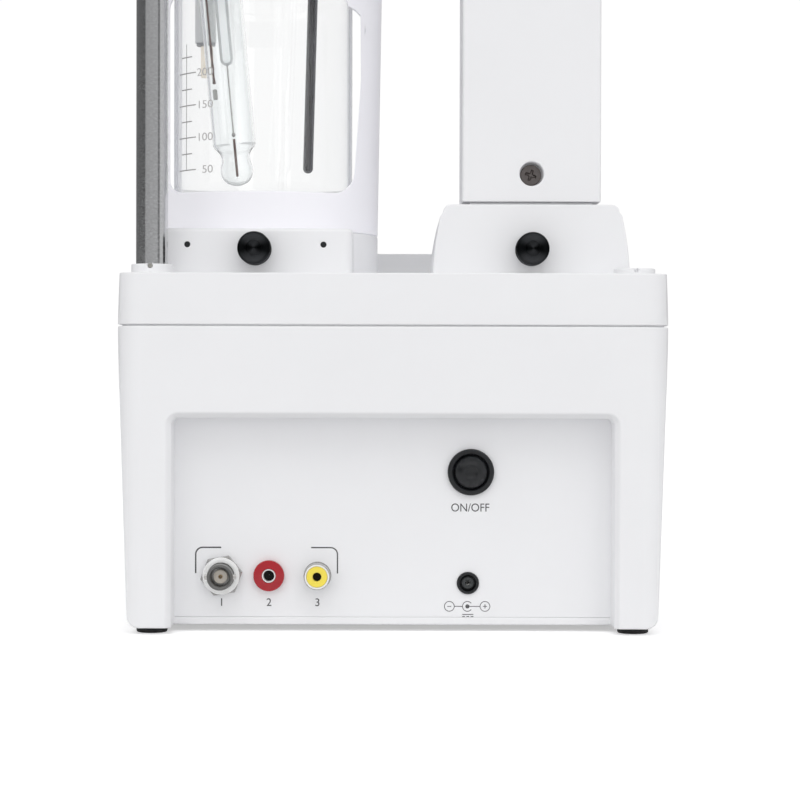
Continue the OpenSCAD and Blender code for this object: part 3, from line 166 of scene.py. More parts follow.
bpy.ops.object.select_all(action="DESELECT")
bpy.ops.mesh.primitive_grid_add(x_subdivisions=8, y_subdivisions=8, size=30, location=(0, 0, 0))
floor = bpy.context.active_object
floor.name = "studio_floor"
paper, tree, shader = new_material("studio_paper")
fibre = add_node(tree, "TexNoise", {"Scale": 40})
tone = add_node(tree, "Mix", {"A": (0.76, 0.76, 0.765, 1), "B": (0.79, 0.79, 0.795, 1)}, data_type="RGBA")
wire(tree, (fibre, "Fac", tone, "Factor"), (tone, "Result", shader, "Base Color"))
put(shader, {"Roughness": 0.9, "Specular IOR Level": 0.1, "Emission Color": (1, 1, 1, 1)})
looked_at = add_node(tree, "LightPath")
lift = add_node(tree, "Math", {1: 0.45}, operation="MULTIPLY")
wire(tree, (looked_at, "Is Camera Ray", lift, 0), (lift, 0, shader, "Emission Strength"))
floor.data.materials.append(paper)


# ---------------------------------------------------------------- Case
# The two shells of the case, injection moulded in white ABS, with small rounded edges.
# The lower one holds the connector bay; four screws from below pull them together.
touching = 0.000002  # points closer than this are one point


def only(piece):
    bpy.ops.object.select_all(action="DESELECT")
    piece.select_set(True)
    bpy.context.view_layer.objects.active = piece


def edit():
    """Opens the active piece for editing, with all of it selected."""
    bpy.ops.object.mode_set(mode="EDIT")
    bpy.ops.mesh.select_all(action="SELECT")


def done():
    bpy.ops.object.mode_set(mode="OBJECT")


def settle():
    """Writes the active piece's place, turn and size into its mesh."""
    bpy.ops.object.transform_apply(location=True, rotation=True, scale=True)


def block_of(name, size, middle=(0, 0, 0)):
    """A plain block with the given sides, to be shaped further."""
    bpy.ops.object.select_all(action="DESELECT")
    bpy.ops.mesh.primitive_cube_add(size=1)
    piece = bpy.context.active_object
    piece.name = name
    piece.scale = size
    piece.location = middle
    settle()
    return piece


def apply_all(piece):
    only(piece)
    for change in [m.name for m in piece.modifiers]:
        bpy.ops.object.modifier_apply(modifier=change)


def copy_of(node, name):
    """A copy of a solid of the model, with its loose triangles joined into flat faces."""
    piece = bpy.data.objects.new(name, nodes[node].data.copy())
    bpy.context.scene.collection.objects.link(piece)
    piece.data.materials.clear()
    only(piece)
    bpy.ops.mesh.customdata_custom_splitnormals_clear()
    edit()
    bpy.ops.mesh.remove_doubles(threshold=touching)
    bpy.ops.mesh.dissolve_limited(angle_limit=radians(0.6))
    done()
    return piece


def even_shading(piece, angle=38):
    only(piece)
    bpy.ops.object.shade_smooth_by_angle(angle=radians(angle))
    weighted = piece.modifiers.new("weighted", "WEIGHTED_NORMAL")
    weighted.keep_sharp = True
    apply_all(piece)


def soften(piece, width, steps=3, angle=30):
    """Rounds every edge sharper than the angle, as a mould or a deburring tool leaves it."""
    bevel = piece.modifiers.new("soften", "BEVEL")
    bevel.limit_method = "ANGLE"
    bevel.angle_limit = radians(angle)
    bevel.width = width
    bevel.segments = steps
    bevel.use_clamp_overlap = False
    apply_all(piece)
    even_shading(piece)
    return piece


def fit(piece, material, body, slot, *stands_for):
    """Gives a finished piece its material, its body and the solids that it stands for."""
    piece.data.materials.clear()
    piece.data.materials.append(material)
    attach(piece, body)
    if stands_for:
        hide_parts(*stands_for)
    return piece


def dress(node, name, width, material, body, slot, steps=3, angle=30):
    """A solid of the model with softened edges and its material."""
    return fit(soften(copy_of(node, name), width, steps, angle), material, body, slot, node)


def node_group(name, inputs, outputs):
    """An empty shader group with its sockets, and its two ends."""
    group = bpy.data.node_groups.new(name, "ShaderNodeTree")
    for socket, kind, value in inputs:
        made = group.interface.new_socket(name=socket, in_out="INPUT", socket_type="NodeSocket" + kind)
        if value is not None:
            made.default_value = value
    for socket, kind in outputs:
        group.interface.new_socket(name=socket, in_out="OUTPUT", socket_type="NodeSocket" + kind)
    return group, group.nodes.new("NodeGroupInput"), group.nodes.new("NodeGroupOutput")


# the fine grain of a mould: a low mottle for colour and gloss, and a fine height
mould_grain, start, end = node_group(
    "mould_grain", [
        ("Scale", "Float", 2600.0), ("Mottle Scale", "Float", 28.0)
    ], [("Mottle", "Float"), ("Height", "Float")]
)
place = add_node(mould_grain, "TexCoord")
fine = add_node(mould_grain, "TexNoise", {"Detail": 2})
wide = add_node(mould_grain, "TexNoise", {"Detail": 3})
wire(
    mould_grain, (place, "Object", fine, "Vector"), (place, "Object", wide, "Vector"),
    (start, "Scale", fine, "Scale"), (start, "Mottle Scale", wide, "Scale"), (fine, "Fac", end, "Height"),
    (wide, "Fac", end, "Mottle")
)

# wear along edges: where the rounded normal leaves the real one, broken up by noise
edge_wear, start, end = node_group(
    "edge_wear", [("Width", "Float", 0.0006), ("Break Up", "Float", 300.0)], [("Mask", "Float")]
)
place = add_node(edge_wear, "TexCoord")
rounded = add_node(edge_wear, "Bevel", samples=4)
true_side = add_node(edge_wear, "NewGeometry")
dot = add_node(edge_wear, "VectorMath", operation="DOT_PRODUCT")
reach = add_node(edge_wear, "MapRange", {"From Min": 1.0, "From Max": 0.8})
spots = add_node(edge_wear, "TexNoise")
both = add_node(edge_wear, "Math", operation="MULTIPLY", use_clamp=True)
wire(
    edge_wear, (start, "Width", rounded, "Radius"), (place, "Object", spots, "Vector"),
    (start, "Break Up", spots, "Scale"), (rounded, "Normal", dot, 0), (true_side, "Normal", dot, 1),
    (dot, "Value", reach, "Value"), (reach, "Result", both, 0), (spots, "Fac", both, 1), (both, 0, end, "Mask")
)


def place_group(tree, group, **values):
    """Puts a shared group into a material with its own values."""
    node = add_node(tree, "Group", node_tree=group)
    for socket, value in values.items():
        node.inputs[socket.replace("_", " ")].default_value = value
    return node


def blend_colours(tree, mask, low, high):
    """Mixes two colours by a mask; either may be the output of another node."""
    node = add_node(tree, "Mix", data_type="RGBA")
    tree.links.new(mask, node.inputs["Factor"])
    for socket, colour in (("A", low), ("B", high)):
        if isinstance(colour, tuple):
            node.inputs[socket].default_value = (*colour, 1)
        else:
            tree.links.new(colour, node.inputs[socket])
    return node.outputs["Result"]


def spread(tree, mask, low, high, bottom=0.3, top=0.7):
    """Turns a mask into a value between low and high."""
    node = add_node(tree, "MapRange", {"From Min": bottom, "From Max": top, "To Min": low, "To Max": high})
    tree.links.new(mask, node.inputs["Value"])
    return node.outputs["Result"]


def bump(tree, height, distance, strength=1.0):
    node = add_node(tree, "Bump", {"Strength": strength, "Distance": distance})
    tree.links.new(height, node.inputs["Height"])
    tree.links.new(node.outputs["Normal"], tree.nodes["Principled BSDF"].inputs["Normal"])


def moulded(name, low, high, rough, edge, grain=2600.0, mottle=28.0, depth=0.00002, wear=0.0006, coat=0.0, metal=0.0):
    """A moulded, cast or painted finish: mottled colour, worn edges and a fine grain."""
    material, tree, shader = new_material(name)
    grains = place_group(tree, mould_grain, Scale=grain, Mottle_Scale=mottle)
    edges = place_group(tree, edge_wear, Width=wear)
    body = blend_colours(tree, grains.outputs["Mottle"], low, high)
    colour = blend_colours(tree, edges.outputs["Mask"], body, edge)
    tree.links.new(colour, shader.inputs["Base Color"])
    tree.links.new(spread(tree, grains.outputs["Mottle"], rough * 0.88, rough * 1.12), shader.inputs["Roughness"])
    bump(tree, grains.outputs["Height"], depth)
    put(shader, {"Metallic": metal, "Coat Weight": coat, "Coat Roughness": 0.15})
    return material


white_abs = moulded("white_abs", (0.835, 0.837, 0.852), (0.865, 0.867, 0.882), 0.42, (0.94, 0.94, 0.952))
dress("lower_case", "lower_shell", 0.0005, white_abs, "case", "white_abs")
dress("upper_case", "upper_shell", 0.0005, white_abs, "case", "white_abs")

# soft black feet, moulded with a rounded rim and let into the floor of the case
foot_rubber = moulded(
    "foot_rubber", (0.012, 0.012, 0.013), (0.03, 0.03, 0.031), 0.72, (0.06, 0.06, 0.06), grain=1500, depth=0.00004
)
dress("feet", "foot_pads", 0.0007, foot_rubber, "case", "foot_rubber")

# hexagon screws of zinc-plated steel, deep in the wells of the lower shell
screw_steel = moulded("screw_steel", (0.42, 0.41, 0.38), (0.58, 0.57, 0.53), 0.32, (0.75, 0.74, 0.7), metal=1.0)
dress("case_screws", "shell_screws", 0.00015, screw_steel, "case", "screw_steel")
dress("rod_set_screw", "seat_screw", 0.0001, screw_steel, "case", "screw_steel")


# ---------------------------------------------------------------- Connector panel
# A plate of the same white ABS behind the bay. Its thin grey signs are printed on: lines
# over the sockets, their numbers, the switch's words and the polarity of the supply.
dress("connector_panel", "panel_plate", 0.0002, white_abs, "case", "white_abs")
ink = moulded(
    "grey_ink", (0.055, 0.055, 0.06), (0.085, 0.085, 0.09), 0.6, (0.12, 0.12, 0.12), grain=4000, depth=0.000004
)
panel_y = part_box("connector_panel")[0].y
ink_depth = 0.00006


def join_edges(piece):
    """Joins the loose front, side and back of a film of ink into one closed skin."""
    only(piece)
    edit()
    bpy.ops.mesh.select_mode(type="VERT")
    bpy.ops.mesh.select_all(action="SELECT")
    bpy.ops.mesh.remove_doubles(threshold=touching)
    bpy.ops.mesh.normals_make_consistent(inside=False)
    done()


def printed(piece, y, material, body="case", slot="black_plastic"):
    """Turns a text or curve that stands at the origin into a film of ink at the depth y."""
    only(piece)
    bpy.ops.object.convert(target="MESH")
    piece.location.y = y
    settle()
    join_edges(piece)
    return fit(piece, material, body, slot)


def lettering(name, text, size, depth, place=(0, 0, 0), turn=(0, 0, 0)):
    """A text with a thickness, its middle over the place."""
    bpy.ops.object.select_all(action="DESELECT")
    bpy.ops.object.text_add(rotation=turn, location=place)
    piece = bpy.context.active_object
    piece.name = name
    piece.data.body = text
    piece.data.align_x = "CENTER"
    piece.data.size = size
    piece.data.extrude = depth / 2
    return piece


def cord(name, points, width, loop):
    """A round cord through the points."""
    curve = bpy.data.curves.new(name, "CURVE")
    curve.dimensions = "3D"
    curve.bevel_depth = width / 2
    curve.bevel_resolution = 1
    curve.use_fill_caps = True
    run = curve.splines.new("POLY")
    run.points.add(len(points) - 1)
    for point, place in zip(run.points, points):
        point.co = (*place, 1)
    run.use_cyclic_u = loop
    piece = bpy.data.objects.new(name, curve)
    bpy.context.scene.collection.objects.link(piece)
    return piece


def words(name, text, x, z, height, y, material, body="case", squeeze=1.0):
    """Printed words or numbers, their middle at x and their foot at z."""
    piece = lettering(name, text, height / 0.69, ink_depth, (x, 0, z), (pi / 2, 0, 0))
    piece.scale.x = squeeze
    return printed(piece, y, material, body)


def line(name, points, width, y, material, body="case", loop=False):
    """A printed line: a round cord through the points, pressed flat on the surface."""
    piece = cord(name, [(x, 0, z) for x, z in points], width, loop)
    piece.scale.y = ink_depth / width
    return printed(piece, y, material, body)


def arc(x, z, r, start, end, steps=8):
    """Points of an arc about x, z, from one angle in degrees to another."""
    angles = [radians(start + (end - start) * i / steps) for i in range(steps + 1)]
    return [(x + r * cos(a), z + r * sin(a)) for a in angles]


on_panel = panel_y - ink_depth / 2
line(
    "bracket_left", [(-0.07395, 0.0217)] + arc(-0.07135, 0.0288, 0.0026, 180, 90) + [(-0.0644, 0.0314)], 0.00055,
    on_panel, ink
)
line(
    "bracket_right", [(-0.0306, 0.0314)] + arc(-0.0233, 0.0288, 0.0026, 90, 0) + [(-0.0207, 0.0217)], 0.00055,
    on_panel, ink
)
for number, x in (("1", -0.0642), ("2", -0.0464), ("3", -0.0282)):
    words("socket_number_" + number, number, x, 0.0094, 0.0029, on_panel, ink)
words("switch_words", "ON/OFF", 0.0291, 0.0451, 0.0030, on_panel, ink, squeeze=0.92)
sign_z = 0.00942
for name, x in (("minus", 0.02136), ("pole", 0.02816), ("plus", 0.03476)):
    turn_round = arc(x, sign_z, 0.00185, 40, 320, 24) if name == "pole" else arc(x, sign_z, 0.00185, 0, 345, 23)
    line("sign_" + name, turn_round, 0.0003, on_panel, ink, loop=name != "pole")
line("sign_dot", arc(0.02816, sign_z, 0.0004, 0, 330, 11), 0.0009, on_panel, ink, loop=True)
line("sign_wire_left", [(0.02321, sign_z), (0.02631, sign_z)], 0.0003, on_panel, ink)
line("sign_wire_right", [(0.02816, sign_z), (0.03291, sign_z)], 0.0003, on_panel, ink)
line("minus_bar", [(0.0206, sign_z), (0.0221, sign_z)], 0.0003, on_panel, ink)
line("plus_bar", [(0.034, sign_z), (0.0355, sign_z)], 0.0003, on_panel, ink)
line("plus_post", [(0.03476, sign_z - 0.00075), (0.03476, sign_z + 0.00075)], 0.0003, on_panel, ink)
line("direct_sign_top", [(0.0262, 0.0064), (0.0304, 0.0064)], 0.00034, on_panel, ink)
for i in range(3):
    line(
        "direct_sign_dash_%d" % i, [(0.0262 + 0.0016 * i, 0.0056), (0.0272 + 0.0016 * i, 0.0056)], 0.00034,
        on_panel, ink
    )


# ---------------------------------------------------------------- Power switch
# A black bezel pressed into the panel, a domed cap with a dimple for the finger inside
# it, and the push-to-lock switch behind, all turned or moulded round the same axis.
pole = 0.0002  # radius of the ring that closes a solid end


def turned(name, centre, axis, rings, sides=72, angle=38):
    """A piece turned about an axis. Each ring is (radius, distance along the axis); a hollow
    piece ends with its first ring, a solid one starts and ends with small rings to be filled."""
    along = Vector(axis).normalized()
    centre = Vector(centre)
    lean = Vector((0, 0, 1)).rotation_difference(along).to_euler()
    bpy.ops.object.select_all(action="DESELECT")
    bpy.ops.mesh.primitive_circle_add(
        vertices=sides, radius=rings[0][0], location=centre + along * rings[0][1], rotation=lean
    )
    piece = bpy.context.active_object
    piece.name = name
    settle()
    edit()
    bpy.ops.mesh.select_mode(type="VERT")
    bpy.ops.mesh.select_all(action="SELECT")
    for (r0, h0), (r1, h1) in zip(rings, rings[1:]):
        bpy.ops.mesh.extrude_region_move(TRANSFORM_OT_translate={"value": along * (h1 - h0)})
        size = r1 / r0
        bpy.ops.transform.resize(value=(size, size, size), center_override=centre + along * h1)
    bpy.ops.mesh.select_all(action="SELECT")
    if rings[0] == rings[-1]:
        bpy.ops.mesh.remove_doubles(threshold=touching)
    else:
        bpy.ops.mesh.fill_holes(sides=0)
    bpy.ops.mesh.select_all(action="SELECT")
    bpy.ops.mesh.normals_make_consistent(inside=False)
    done()
    even_shading(piece, angle)
    return piece


def spin(name, centre, axis, rings, material, body, slot, *stands_for, sides=72, angle=38):
    """A turned piece with its material, its body and the solid that it stands for."""
    return fit(turned(name, centre, axis, rings, sides, angle), material, body, slot, *stands_for)


def round_edge(r, h, size, turn_from, turn_to, steps=4):
    """Rings of a rounded edge about the ring r, h, between two angles in degrees."""
    angles = [radians(turn_from + (turn_to - turn_from) * i / steps) for i in range(steps + 1)]
    return [(r + size * cos(a), h + size * sin(a)) for a in angles]


def cut(piece, tool):
    """Cuts the shape of a tool out of a piece and puts the tool away."""
    only(piece)
    away = piece.modifiers.new("cut", "BOOLEAN")
    away.operation = "DIFFERENCE"
    away.solver = "EXACT"
    away.object = tool
    bpy.ops.object.modifier_apply(modifier="cut")
    bpy.data.objects.remove(tool)
    return piece


black_plastic = moulded(
    "black_plastic", (0.013, 0.013, 0.014), (0.022, 0.022, 0.024), 0.36, (0.09, 0.09, 0.095), grain=2200,
    depth=0.000015
)
glossy_black = moulded(
    "glossy_black", (0.006, 0.007, 0.008), (0.010, 0.011, 0.013), 0.30, (0.03, 0.032, 0.034), grain=2600,
    depth=0.000008
)
low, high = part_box("power_bezel")
button = ((low.x + high.x) / 2, panel_y, (low.z + high.z) / 2)
rear, up = (0, -1, 0), (0, 0, 1)
bezel_rings = [(0.00665, -0.0100), (0.00765, -0.0100), (0.00765, -0.0030), (0.00765, 0.0), (0.00875, 0.0)]
bezel_rings += round_edge(0.00785, 0.0013, 0.0009, 0, 90) + [(0.0071, 0.0022)]
bezel_rings += [(0.00665, 0.0017), (0.00665, -0.0100)]
spin("switch_bezel", button, rear, bezel_rings, glossy_black, "case", "black_plastic", "power_bezel")
cap_rings = [(pole, -0.0078), (0.00625, -0.0078), (0.00625, 0.0014)]
cap_rings += [
    (0.00618, 0.0018), (0.0060, 0.00215), (0.0055, 0.00275), (0.0049, 0.0033), (0.0042, 0.00382), (0.0036, 0.00418),
    (0.0031, 0.00440), (0.0028, 0.00448)
]
cap_rings += [(0.00256, 0.00446), (0.0023, 0.0042), (0.0018, 0.00392), (0.001, 0.0037), (pole, 0.00362)]
spin("switch_cap", button, rear, cap_rings, glossy_black, "power_button_body", "black_plastic", "power_button")
dress("power_switch", "switch_block", 0.0003, black_plastic, "case", "black_plastic")


# ---------------------------------------------------------------- Supply jack
# A round barrel jack of black plastic with a stepped bore, and a thin pin in a grey post.
low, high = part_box("supply_jack")
jack = ((low.x + high.x) / 2, panel_y, (low.z + high.z) / 2)
jack_rings = [(0.0030, -0.0060), (0.0030, 0.0004), (0.0032, 0.0009)] + round_edge(0.0037, 0.0005, 0.0005, 90, 0)
jack_rings += [(0.0042, 0.0), (0.0038, 0.0), (0.0038, -0.0120), (pole, -0.0120), (pole, -0.0060), (0.0030, -0.0060)]
spin("jack_barrel", jack, rear, jack_rings, glossy_black, "case", "black_plastic", "supply_jack")
post_grey = moulded("post_grey", (0.035, 0.04, 0.042), (0.055, 0.06, 0.062), 0.5, (0.1, 0.1, 0.1))
post_rings = [
    (0.0009, -0.0058), (0.0009, -0.0010), (0.0011, -0.0008), (0.0021, -0.0008), (0.0023, -0.0010),
    (0.0023, -0.0058), (0.0009, -0.0058)
]
spin("jack_post", jack, rear, post_rings, post_grey, "case", "black_plastic", sides=48)
nickel = moulded(
    "nickel", (0.52, 0.515, 0.50), (0.72, 0.71, 0.69), 0.2, (0.85, 0.84, 0.82), grain=1800, depth=0.000004,
    metal=1.0
)
pin_rings = [
    (0.0005, -0.0080), (0.0005, -0.0014), (0.0008, -0.0012), (0.00085, -0.0016), (0.00085, -0.0090),
    (pole, -0.0090), (pole, -0.0080), (0.0005, -0.0080)
]
spin("jack_pin", jack, rear, pin_rings, nickel, "case", "nickel", "supply_pin", sides=32)


# ---------------------------------------------------------------- Measuring sockets
# From the left: a bayonet socket with its hexagon nut, painted-bright collar and ivory
# insulator; a red 4 mm socket with a cone round its hole; a phono socket with a yellow core.
# three copies of one nickel plating, painted lighter or darker for the light they reflect: near white as a painted
# reflection on the collar and the rims, mid grey as painted half shade on the nut and the phono shell, dark as
# painted shade on the bayonet barrel
painted_lit_nickel = moulded(
    "painted_lit_nickel", (0.88, 0.88, 0.875), (0.97, 0.97, 0.965), 0.42, (0.95, 0.95, 0.95), grain=1800, depth=0.000004,
    metal=0.35
)
# the same nickel in painted half shade
painted_half_shade_nickel = moulded(
    "painted_half_shade_nickel", (0.34, 0.335, 0.33), (0.52, 0.515, 0.50), 0.25, (0.8, 0.8, 0.78), grain=1800, depth=0.000004,
    metal=0.9
)
# the same nickel in painted shade
painted_shade_nickel = moulded(
    "painted_shade_nickel", (0.12, 0.12, 0.118), (0.24, 0.236, 0.23), 0.3, (0.6, 0.6, 0.58), grain=1800, depth=0.000006,
    metal=0.9
)
low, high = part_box("ref_contact")
socket_z = (low.z + high.z) / 2
bnc = (-0.0642, panel_y, socket_z)
nut = turned(
    "bayonet_nut", bnc, rear, [(0.0074, 0), (0.0080, 0.0004), (0.0080, 0.0026), (0.0074, 0.0030)], sides=6,
    angle=20
)
only(nut)
edit()
bpy.ops.transform.rotate(value=radians(-20), orient_axis="Y", center_override=bnc)
done()
soften(nut, 0.0002, 2, 15)
fit(nut, painted_half_shade_nickel, "case", "nickel")
collar_rings = [
    (0.0050, 0.0012), (0.0050, 0.0041), (0.0052, 0.0043), (0.0062, 0.0043), (0.0064, 0.0041), (0.0066, 0.0041)
] + round_edge(0.0065, 0.0038, 0.0004, 75, 0)
collar_rings += [(0.0069, 0.0012), (0.0050, 0.0012)]
spin("bayonet_collar", bnc, rear, collar_rings, painted_lit_nickel, "case", "nickel")
barrel_rings = [
    (0.0034, -0.0030), (0.0034, 0.0102), (0.0038, 0.0107), (0.0041, 0.0109)
] + round_edge(0.0045, 0.0106, 0.00035, 90, 0)
barrel_rings += [
    (0.00485, 0.0104), (0.00485, 0.0013), (0.0058, 0.0011), (0.0058, -0.0070), (0.0034, -0.0070), (0.0034, -0.0030)
]
spin("bayonet_barrel", bnc, rear, barrel_rings, painted_shade_nickel, "case", "nickel", "bnc_socket")
for side in (-1, 1):
    lug = turned("bayonet_lug_%d" % (side > 0), (bnc[0] + side * 0.00575, panel_y - 0.0081, socket_z), (side, 0, 0),
                 [(0.001, -0.0014), (0.001, 0.0)] + round_edge(0.0008, 0.0, 0.0002, 0, 90, 2), sides=20)
    fit(lug, nickel, "case", "nickel")
ivory = moulded("ivory_insulator", (0.74, 0.67, 0.58), (0.82, 0.76, 0.68), 0.45, (0.75, 0.7, 0.6))
gold = moulded("gold_contact", (0.62, 0.42, 0.16), (0.78, 0.56, 0.25), 0.28, (0.9, 0.7, 0.4), metal=1.0)
core_rings = [(0.0008, 0.0062), (0.0023, 0.0062)] + round_edge(0.0024, 0.0060, 0.0002, 90, 0, 2)
core_rings += [(0.0026, 0.0012), (0.0034, 0.0012), (0.0034, -0.0029), (0.0008, -0.0029), (0.0008, 0.0062)]
spin("bayonet_insulator", bnc, rear, core_rings, ivory, "case", "insulator", "bnc_core")
contact_rings = [
    (0.00045, 0.0020), (0.00045, 0.0062), (0.0007, 0.0064), (0.0008, 0.0062), (0.0008, -0.0020), (0.00045, -0.0020),
    (0.00045, 0.0020)
]
spin("bayonet_contact", bnc, rear, contact_rings, gold, "case", "nickel", sides=24)

red_plastic = moulded(
    "red_plastic", (0.34, 0.005, 0.012), (0.42, 0.008, 0.018), 0.16, (0.6, 0.06, 0.08), depth=0.000006, coat=0.35
)
ref = (-0.0464, panel_y, socket_z)
red_rings = [
    (0.0026, -0.0045), (0.0026, 0.0027), (0.0028, 0.0031), (0.0053, 0.0025)
] + round_edge(0.0055, 0.0022, 0.0003, 80, 0)
red_rings += [(0.0058, 0.0), (0.0048, 0.0), (0.0048, -0.0070), (0.0026, -0.0070), (0.0026, -0.0045)]
spin("red_socket", ref, rear, red_rings, red_plastic, "case", "red_plastic", "ref_socket")
sleeve_rings = [
    (0.0021, -0.0040), (0.0021, 0.0028), (0.0022, 0.0029), (0.0025, 0.0029), (0.0025, -0.0050), (pole, -0.0050),
    (pole, -0.0040), (0.0021, -0.0040)
]
spin("red_socket_sleeve", ref, rear, sleeve_rings, painted_lit_nickel, "case", "nickel", "ref_contact", sides=40)
# painted shadow: a near-black floor deep in the socket's hole stands for the shade inside it
painted_hole_shadow = moulded(
    "painted_hole_shadow", (0.002, 0.002, 0.002), (0.004, 0.004, 0.004), 0.9, (0.004, 0.004, 0.004), depth=0.000001
)
hole_rings = [(pole, -0.0035), (pole, -0.0012), (0.00205, -0.0012), (0.00205, -0.0035), (pole, -0.0035)]
spin("red_socket_floor", ref, rear, hole_rings, painted_hole_shadow, "case", "nickel", sides=40)

phono = (-0.0282, panel_y, socket_z)
phono_rings = [
    (0.0041, -0.0030), (0.0041, 0.0070), (0.0043, 0.0073), (0.0046, 0.0073)
] + round_edge(0.0046, 0.0070, 0.0003, 90, 0)
phono_rings += [
    (0.0049, 0.0068), (0.0049, 0.0004), (0.0052, 0.0), (0.0042, 0.0), (0.0042, -0.0070), (0.00395, -0.0070),
    (0.00395, -0.0030), (0.0041, -0.0030)
]
spin("phono_shell", phono, rear, phono_rings, painted_half_shade_nickel, "case", "nickel", "temp_socket")
yellow_plastic = moulded("yellow_plastic", (0.84, 0.68, 0.07), (0.92, 0.76, 0.10), 0.35, (0.9, 0.75, 0.3))
yellow_rings = [
    (0.0016, -0.0020), (0.0016, 0.0069), (0.0018, 0.0072), (0.0036, 0.0072)
] + round_edge(0.0037, 0.0070, 0.0002, 90, 0, 2)
yellow_rings += [(0.0039, -0.0029), (pole, -0.0029), (pole, -0.0020), (0.0016, -0.0020)]
spin("phono_core", phono, rear, yellow_rings, yellow_plastic, "case", "yellow_plastic", "temp_core")
rim_rings = [
    (0.0040, 0.0060), (0.0040, 0.0073), (0.0041, 0.0074), (0.0045, 0.0074), (0.0046, 0.0073), (0.0046, 0.0060),
    (0.0040, 0.0060)
]
spin("phono_rim", phono, rear, rim_rings, painted_lit_nickel, "case", "nickel")
# painted shadow: a near-black plug in the core's hole stands for the shade inside it
hole_rings = [(pole, -0.0016), (pole, 0.0058), (0.00155, 0.0058), (0.00155, -0.0016), (pole, -0.0016)]
spin("phono_hole", phono, rear, hole_rings, painted_hole_shadow, "case", "yellow_plastic", sides=32)


# ---------------------------------------------------------------- Inside the case
# The boards, the display module and the side sockets, fixed inside the two shells.
board_green = moulded(
    "board_green", (0.012, 0.11, 0.045), (0.02, 0.16, 0.07), 0.4, (0.3, 0.28, 0.12), grain=500, mottle=120,
    depth=0.00003, coat=0.2
)


def paint(node, material):
    """Gives a solid of the model its material where it is seen as it is."""
    nodes[node].data.materials.clear()
    nodes[node].data.materials.append(material)


for node in ("main_board", "sensor_board", "pump_board"):
    paint(node, board_green)
display_back = moulded("display_back", (0.10, 0.105, 0.11), (0.14, 0.145, 0.15), 0.45, (0.3, 0.3, 0.3), metal=0.6)
paint("display_module", display_back)
dress("data_sockets", "side_sockets", 0.00015, nickel, "case", "nickel")


# ---------------------------------------------------------------- Support rod
# A 12 mm rod of ground stainless steel with a chamfered end. It stands in the seat of
# the upper shell, and the white plug at the other side closes the second seat.
brushed_grain, start, end = node_group(
    "brushed_grain", [
        ("Across", "Float", 3000.0), ("Along", "Float", 40.0)
    ], [("Streaks", "Float"), ("Height", "Float")]
)
place = add_node(brushed_grain, "TexCoord")
stretch = add_node(brushed_grain, "VectorMath", operation="MULTIPLY")
joined = add_node(brushed_grain, "CombineXYZ")
streak = add_node(brushed_grain, "TexNoise", {"Scale": 1.0, "Detail": 3})
wire(
    brushed_grain, (place, "Object", stretch, 0), (start, "Across", joined, "X"), (start, "Across", joined, "Y"),
    (start, "Along", joined, "Z"), (joined, 0, stretch, 1), (stretch, 0, streak, "Vector"),
    (streak, "Fac", end, "Streaks"), (streak, "Fac", end, "Height")
)


def brushed(name, low, high, rough, across=2500.0, along=2500.0, depth=0.00001):
    """A ground or brushed metal, with its streaks across the long side."""
    material, tree, shader = new_material(name)
    grains = place_group(tree, brushed_grain, Across=across, Along=along)
    tree.links.new(blend_colours(tree, grains.outputs["Streaks"], low, high), shader.inputs["Base Color"])
    tree.links.new(spread(tree, grains.outputs["Streaks"], rough * 0.7, rough * 1.3), shader.inputs["Roughness"])
    bump(tree, grains.outputs["Height"], depth)
    shader.inputs["Metallic"].default_value = 1.0
    return material


rod_steel = brushed(
    "rod_steel", (0.52, 0.525, 0.53), (0.70, 0.705, 0.71), 0.16, across=900.0, along=1800.0, depth=0.000012
)
low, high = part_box("support_rod")
rod = ((low.x + high.x) / 2, (low.y + high.y) / 2, 0)
rod_rings = [
    (pole, low.z), (0.0052, low.z), (0.006, low.z + 0.0008), (0.006, 0.18), (0.006, 0.27), (0.006, high.z - 0.001),
    (0.005, high.z), (pole, high.z)
]
spin("steel_rod", rod, up, rod_rings, rod_steel, "case", "rod_steel", "support_rod", sides=96)
low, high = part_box("blanking_plug")
plug = ((low.x + high.x) / 2, (low.y + high.y) / 2, 0)
plug_rings = [
    (pole, low.z), (0.0055, low.z), (0.006, low.z + 0.0005), (0.006, high.z - 0.0025), (0.0078, high.z - 0.0025)
]
plug_rings += round_edge(0.0072, high.z - 0.0006, 0.0006, 0, 90) + [(pole, high.z)]
seat_plug = turned("seat_plug", plug, up, plug_rings)
cut(
    seat_plug,
    turned(
        "plug_notch", (plug[0], low.y - 0.001, high.z - 0.0008), (0, 1, 0), [(0.0009, 0), (0.0009, 0.004)],
        sides=32
    )
)
fit(seat_plug, white_abs, "case", "white_abs", "blanking_plug")


# ---------------------------------------------------------------- Console
# The membrane film lies in its pocket on the slope: grey polyester with printed key
# frames and numbers under a clear hard coat. The tinted window over the display is
# flush with it, and the display behind shows its grid and a curve.
film = moulded(
    "keypad_film", (0.42, 0.45, 0.50), (0.47, 0.50, 0.55), 0.38, (0.6, 0.62, 0.66), grain=5000, depth=0.000006,
    coat=0.15
)
dress("keypad_film", "console_film", 0.00012, film, "case", "film", 2)
tinted = moulded(
    "tinted_window", (0.012, 0.017, 0.022), (0.016, 0.022, 0.028), 0.08, (0.05, 0.06, 0.07), depth=0.000002,
    coat=0.6
)
dress("display_window", "console_window", 0.0001, tinted, "case", "window", 2)
slope = radians(-26)
slope_top = Vector((0, 0, 0.1485))
down = Vector((0, cos(slope), sin(slope)))
out_of_slope = Vector((0, -sin(slope), cos(slope)))
to_slope = Matrix((
    ( -1, 0, 0, slope_top.x), (0, -down.y, out_of_slope.y, slope_top.y), (0, -down.z, out_of_slope.z, slope_top.z),
    (0, 0, 0, 1)
))
